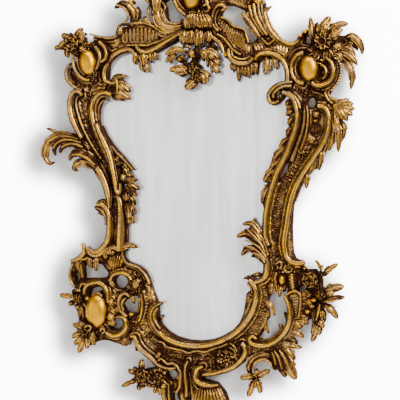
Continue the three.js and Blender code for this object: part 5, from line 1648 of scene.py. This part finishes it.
def wall_paint():
    paint = plain_finish("wall_paint", (0.97, 0.97, 0.97), 0.9)
    tree = paint.node_tree
    shader = tree.nodes["Principled BSDF"]
    ray = add(tree, "ShaderNodeLightPath")
    shade = add(tree, "ShaderNodeAttribute", attribute_name="shade")["Fac"]
    seen = math_node(tree, "MULTIPLY_ADD", ray["Is Camera Ray"],
                     WALL_GLOW - WALL_LIGHT, WALL_LIGHT)
    glow = math_node(tree, "MULTIPLY", math_node(tree, "POWER", shade, SHADE_FADE), seen)
    tree.links.new(glow, shader.inputs["Emission Strength"])
    behind = add(tree, "ShaderNodeNewGeometry")["Backfacing"]
    passed = math_node(tree, "MAXIMUM", behind, ray["Is Shadow Ray"])
    clear = add(tree, "ShaderNodeBsdfTransparent")["BSDF"]
    choose = add(tree, "ShaderNodeMixShader", {0: passed, 1: shader.outputs["BSDF"], 2: clear})
    tree.links.new(choose["Shader"], tree.nodes["Material Output"].inputs["Surface"])
    return paint


points, faces, shade = wall_grid()
keep(stage_piece("studio_wall", points, faces, wall_paint()), "shade", shade)
print("wall of", len(faces), "faces, darkest shade", round(float(shade.min()), 2))


# %% [markdown]
# Old gilding is three things at once: bright burnished gold on what stands out, a
# browner, duller gold on the flanks, and dark wax and dust in the hollows. Here the
# same colours also carry painted light: the bright gold is partly a painted highlight
# on the crests, and the dark colour is partly painted shade in the hollows and on faces
# turned away. Two finishes on this frame share that effect, the gilding and the
# burnished bosses. So it is made once, as a group of shader nodes with named inputs,
# and each material only says how bright, how dusty and how shiny its own gold is.

# %% One group of nodes for all the gold
MIX_SHARE, MIX_FIRST, MIX_SECOND, MIX_RESULT = 0, 6, 7, 2  # the colour sockets of a mix
GOLD_INPUTS = {"Bright": "Color", "Middle": "Color", "Dark": "Color", "Dust": "Color",
               "Dusty": "Float", "Speckled": "Float", "Start": "Float", "Finish": "Float",
               "Shine": "Float", "Metal": "Float"}
GOLD_OUTPUTS = {"Gold": "Color", "Metallic": "Float", "Roughness": "Float", "Normal": "Vector"}


def spread_over(tree, value, low, high, start=0.0, end=1.0):
    """The value, carried from one range to another and kept inside it."""
    given = {"Value": value, "From Min": low, "From Max": high, "To Min": start, "To Max": end}
    return add(tree, "ShaderNodeMapRange", given)["Result"]


def speckles(tree, where, scale, detail, stretch=(1.0, 1.0, 1.0)):
    stretched = add(tree, "ShaderNodeVectorMath", {0: where, 1: stretch}, operation="MULTIPLY")
    given = {"Vector": stretched["Vector"], "Scale": scale, "Detail": detail}
    return add(tree, "ShaderNodeTexNoise", given)["Fac"]


def blend(tree, share, first, second):
    given = {MIX_SHARE: share, MIX_FIRST: first, MIX_SECOND: second}
    return add(tree, "ShaderNodeMix", given, data_type="RGBA")[MIX_RESULT]


def bumped(tree, value, strength, distance):
    given = {"Height": value, "Strength": strength, "Distance": distance}
    return add(tree, "ShaderNodeBump", given)["Normal"]


def aged_gilding():
    tree = bpy.data.node_groups.new("aged_gilding", "ShaderNodeTree")
    for sockets, way in ((GOLD_INPUTS, "INPUT"), (GOLD_OUTPUTS, "OUTPUT")):
        for name, kind in sockets.items():
            tree.interface.new_socket(name, in_out=way, socket_type="NodeSocket" + kind)
    given = add(tree, "NodeGroupInput")
    # This attribute holds wear and painted light together: low is dark wax and painted shade, high
    # is burnished gold and painted highlight.
    wear_and_painted_light = add(tree, "ShaderNodeAttribute", attribute_name="wear_and_painted_light")["Fac"]
    where = add(tree, "ShaderNodeTexCoord")["Object"]
    patches = math_node(tree, "MULTIPLY_ADD", speckles(tree, where, 45, 5), 1.9, -0.95)
    specks = math_node(tree, "SUBTRACT", speckles(tree, where, 230, 2), 0.5)
    specks = math_node(tree, "MULTIPLY", specks, given["Speckled"])
    shift = math_node(tree, "MULTIPLY", math_node(tree, "ADD", patches, specks), 0.5)
    total = math_node(tree, "ADD", wear_and_painted_light, shift)
    share = spread_over(tree, total, given["Start"], given["Finish"])
    low = blend(tree, spread_over(tree, share, 0.0, 0.5), given["Dark"], given["Middle"])
    gold = blend(tree, spread_over(tree, share, 0.5, 1.0), low, given["Bright"])
    dusty = spread_over(tree, speckles(tree, where, 16, 6), 0.5, 0.66)
    for factor in (given["Dusty"], spread_over(tree, share, 0.15, 0.4),
                   spread_over(tree, share, 0.95, 0.6)):
        dusty = math_node(tree, "MULTIPLY", dusty, factor)
    metal = spread_over(tree, share, 0.0, 1.0, 0.8, 1.0)
    metal = math_node(tree, "MULTIPLY", metal, given["Metal"])
    add(tree, "NodeGroupOutput", {
        "Gold": blend(tree, dusty, gold, given["Dust"]),
        "Metallic": math_node(tree, "MULTIPLY_ADD", dusty, -0.5, metal),
        "Roughness": spread_over(tree, share, 0.0, 0.6, 0.6, given["Shine"]),
        "Normal": bumped(tree, speckles(tree, where, 420, 3), 0.22, 0.0015)})
    return tree


gold_of_ages = aged_gilding()
print("the gold has", len(gold_of_ages.nodes), "nodes")


# %% Two finishes from it
def gilding(material, **given):
    material.use_nodes = True
    tree = material.node_tree
    gold = tree.nodes.new("ShaderNodeGroup")
    gold.node_tree = gold_of_ages
    for name, value in given.items():
        gold.inputs[name].default_value = (*value, 1.0) if isinstance(value, tuple) else value
    for output, target in (("Gold", "Base Color"), ("Metallic", "Metallic"),
                           ("Roughness", "Roughness"), ("Normal", "Normal")):
        tree.links.new(gold.outputs[output], tree.nodes["Principled BSDF"].inputs[target])


burnished = bpy.data.materials.new("burnished_gilding")
gilding(gilt, Bright=(0.76, 0.38, 0.006), Middle=(0.40, 0.215, 0.06),
        Dark=(0.048, 0.012, 0.002), Dust=(0.30, 0.20, 0.11), Dusty=0.55, Speckled=1.6,
        Start=0.27, Finish=0.96, Shine=0.07, Metal=1.0)
gilding(burnished, Bright=(0.82, 0.38, 0.0), Middle=(0.55, 0.24, 0.0),
        Dark=(0.06, 0.02, 0.0), Dust=(0.30, 0.17, 0.04), Dusty=0.2, Speckled=0.4,
        Start=0.05, Finish=0.60, Shine=0.38, Metal=1.0)
for name, thing in pieces.items():
    thing.data.materials.clear()
    thing.data.materials.append(burnished if name == "bosses" else gilt)
    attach(thing, "root")
    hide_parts("carved_frame")
print("gold on", len(pieces), "pieces")


# %% [markdown]
# The old glass isn't perfect: its silvering has faint streaks from top to bottom, small
# dark spots, and it is a little dull. All of it comes from noise that is stretched along
# the height, so nothing repeats and no picture is needed.

# %% The glass
def finish_of(name):
    material = bpy.data.materials.new(name)
    material.use_nodes = True
    tree = material.node_tree
    where = add(tree, "ShaderNodeTexCoord")["Object"]
    return material, tree, tree.nodes["Principled BSDF"], where


def refinished(name, material):
    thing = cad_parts[name]
    thing.data.materials.clear()
    thing.data.materials.append(material)
    print(name, "has", material.name)


silver, tree, shader, where = finish_of("old_silvering")
streaks = speckles(tree, where, 46, 6, (1.0, 1.0, 0.06))
clouds = speckles(tree, where, 5, 4, (1.0, 1.0, 0.5))
tarnish = spread_over(tree, math_node(tree, "MULTIPLY_ADD", clouds, 0.8, streaks), 0.70, 1.05)
silvered = blend(tree, tarnish, (0.98, 0.98, 0.98), (0.78, 0.78, 0.77))
foxing = spread_over(tree, speckles(tree, where, 75, 3, (1.0, 1.0, 0.45)), 0.70, 0.78, 0.0, 0.6)
tree.links.new(blend(tree, foxing, silvered, (0.42, 0.40, 0.36)), shader.inputs["Base Color"])
shader.inputs["Metallic"].default_value = 0.42
tree.links.new(spread_over(tree, streaks, 0.3, 0.7, 0.10, 0.18), shader.inputs["Roughness"])
tree.links.new(bumped(tree, clouds, 0.02, 0.001), shader.inputs["Normal"])
refinished("mirror_glass", silver)


# %% [markdown]
# Nobody sees the backboard while the mirror hangs, but it is turned towards the viewer
# when it is taken down. It is bare, old wood with its grain from top to bottom. The back
# of the frame was never gilded either, so its faces there get the same wood.

# %% The backboard
BACK_FACING = 0.5
board_wood, tree, shader, where = finish_of("bare_wood")
grain = speckles(tree, where, 60, 8, (1.0, 1.0, 0.05))
stains = speckles(tree, where, 6, 4)
wood = blend(tree, spread_over(tree, grain, 0.3, 0.7), (0.17, 0.095, 0.045), (0.42, 0.27, 0.15))
wood = blend(tree, spread_over(tree, stains, 0.5, 0.75, 0.0, 0.6), wood, (0.14, 0.09, 0.05))
tree.links.new(wood, shader.inputs["Base Color"])
tree.links.new(spread_over(tree, stains, 0.3, 0.7, 0.66, 0.86), shader.inputs["Roughness"])
tree.links.new(bumped(tree, grain, 0.5, 0.0008), shader.inputs["Normal"])
refinished("backboard", board_wood)
for thing in (ground, relief):
    thing.data.materials.append(board_wood)
    behind = [face for face in thing.data.polygons if face.normal.y > BACK_FACING]
    for face in behind:
        face.material_index = 1
    print(thing.name, "has", len(behind), "bare faces at its back")
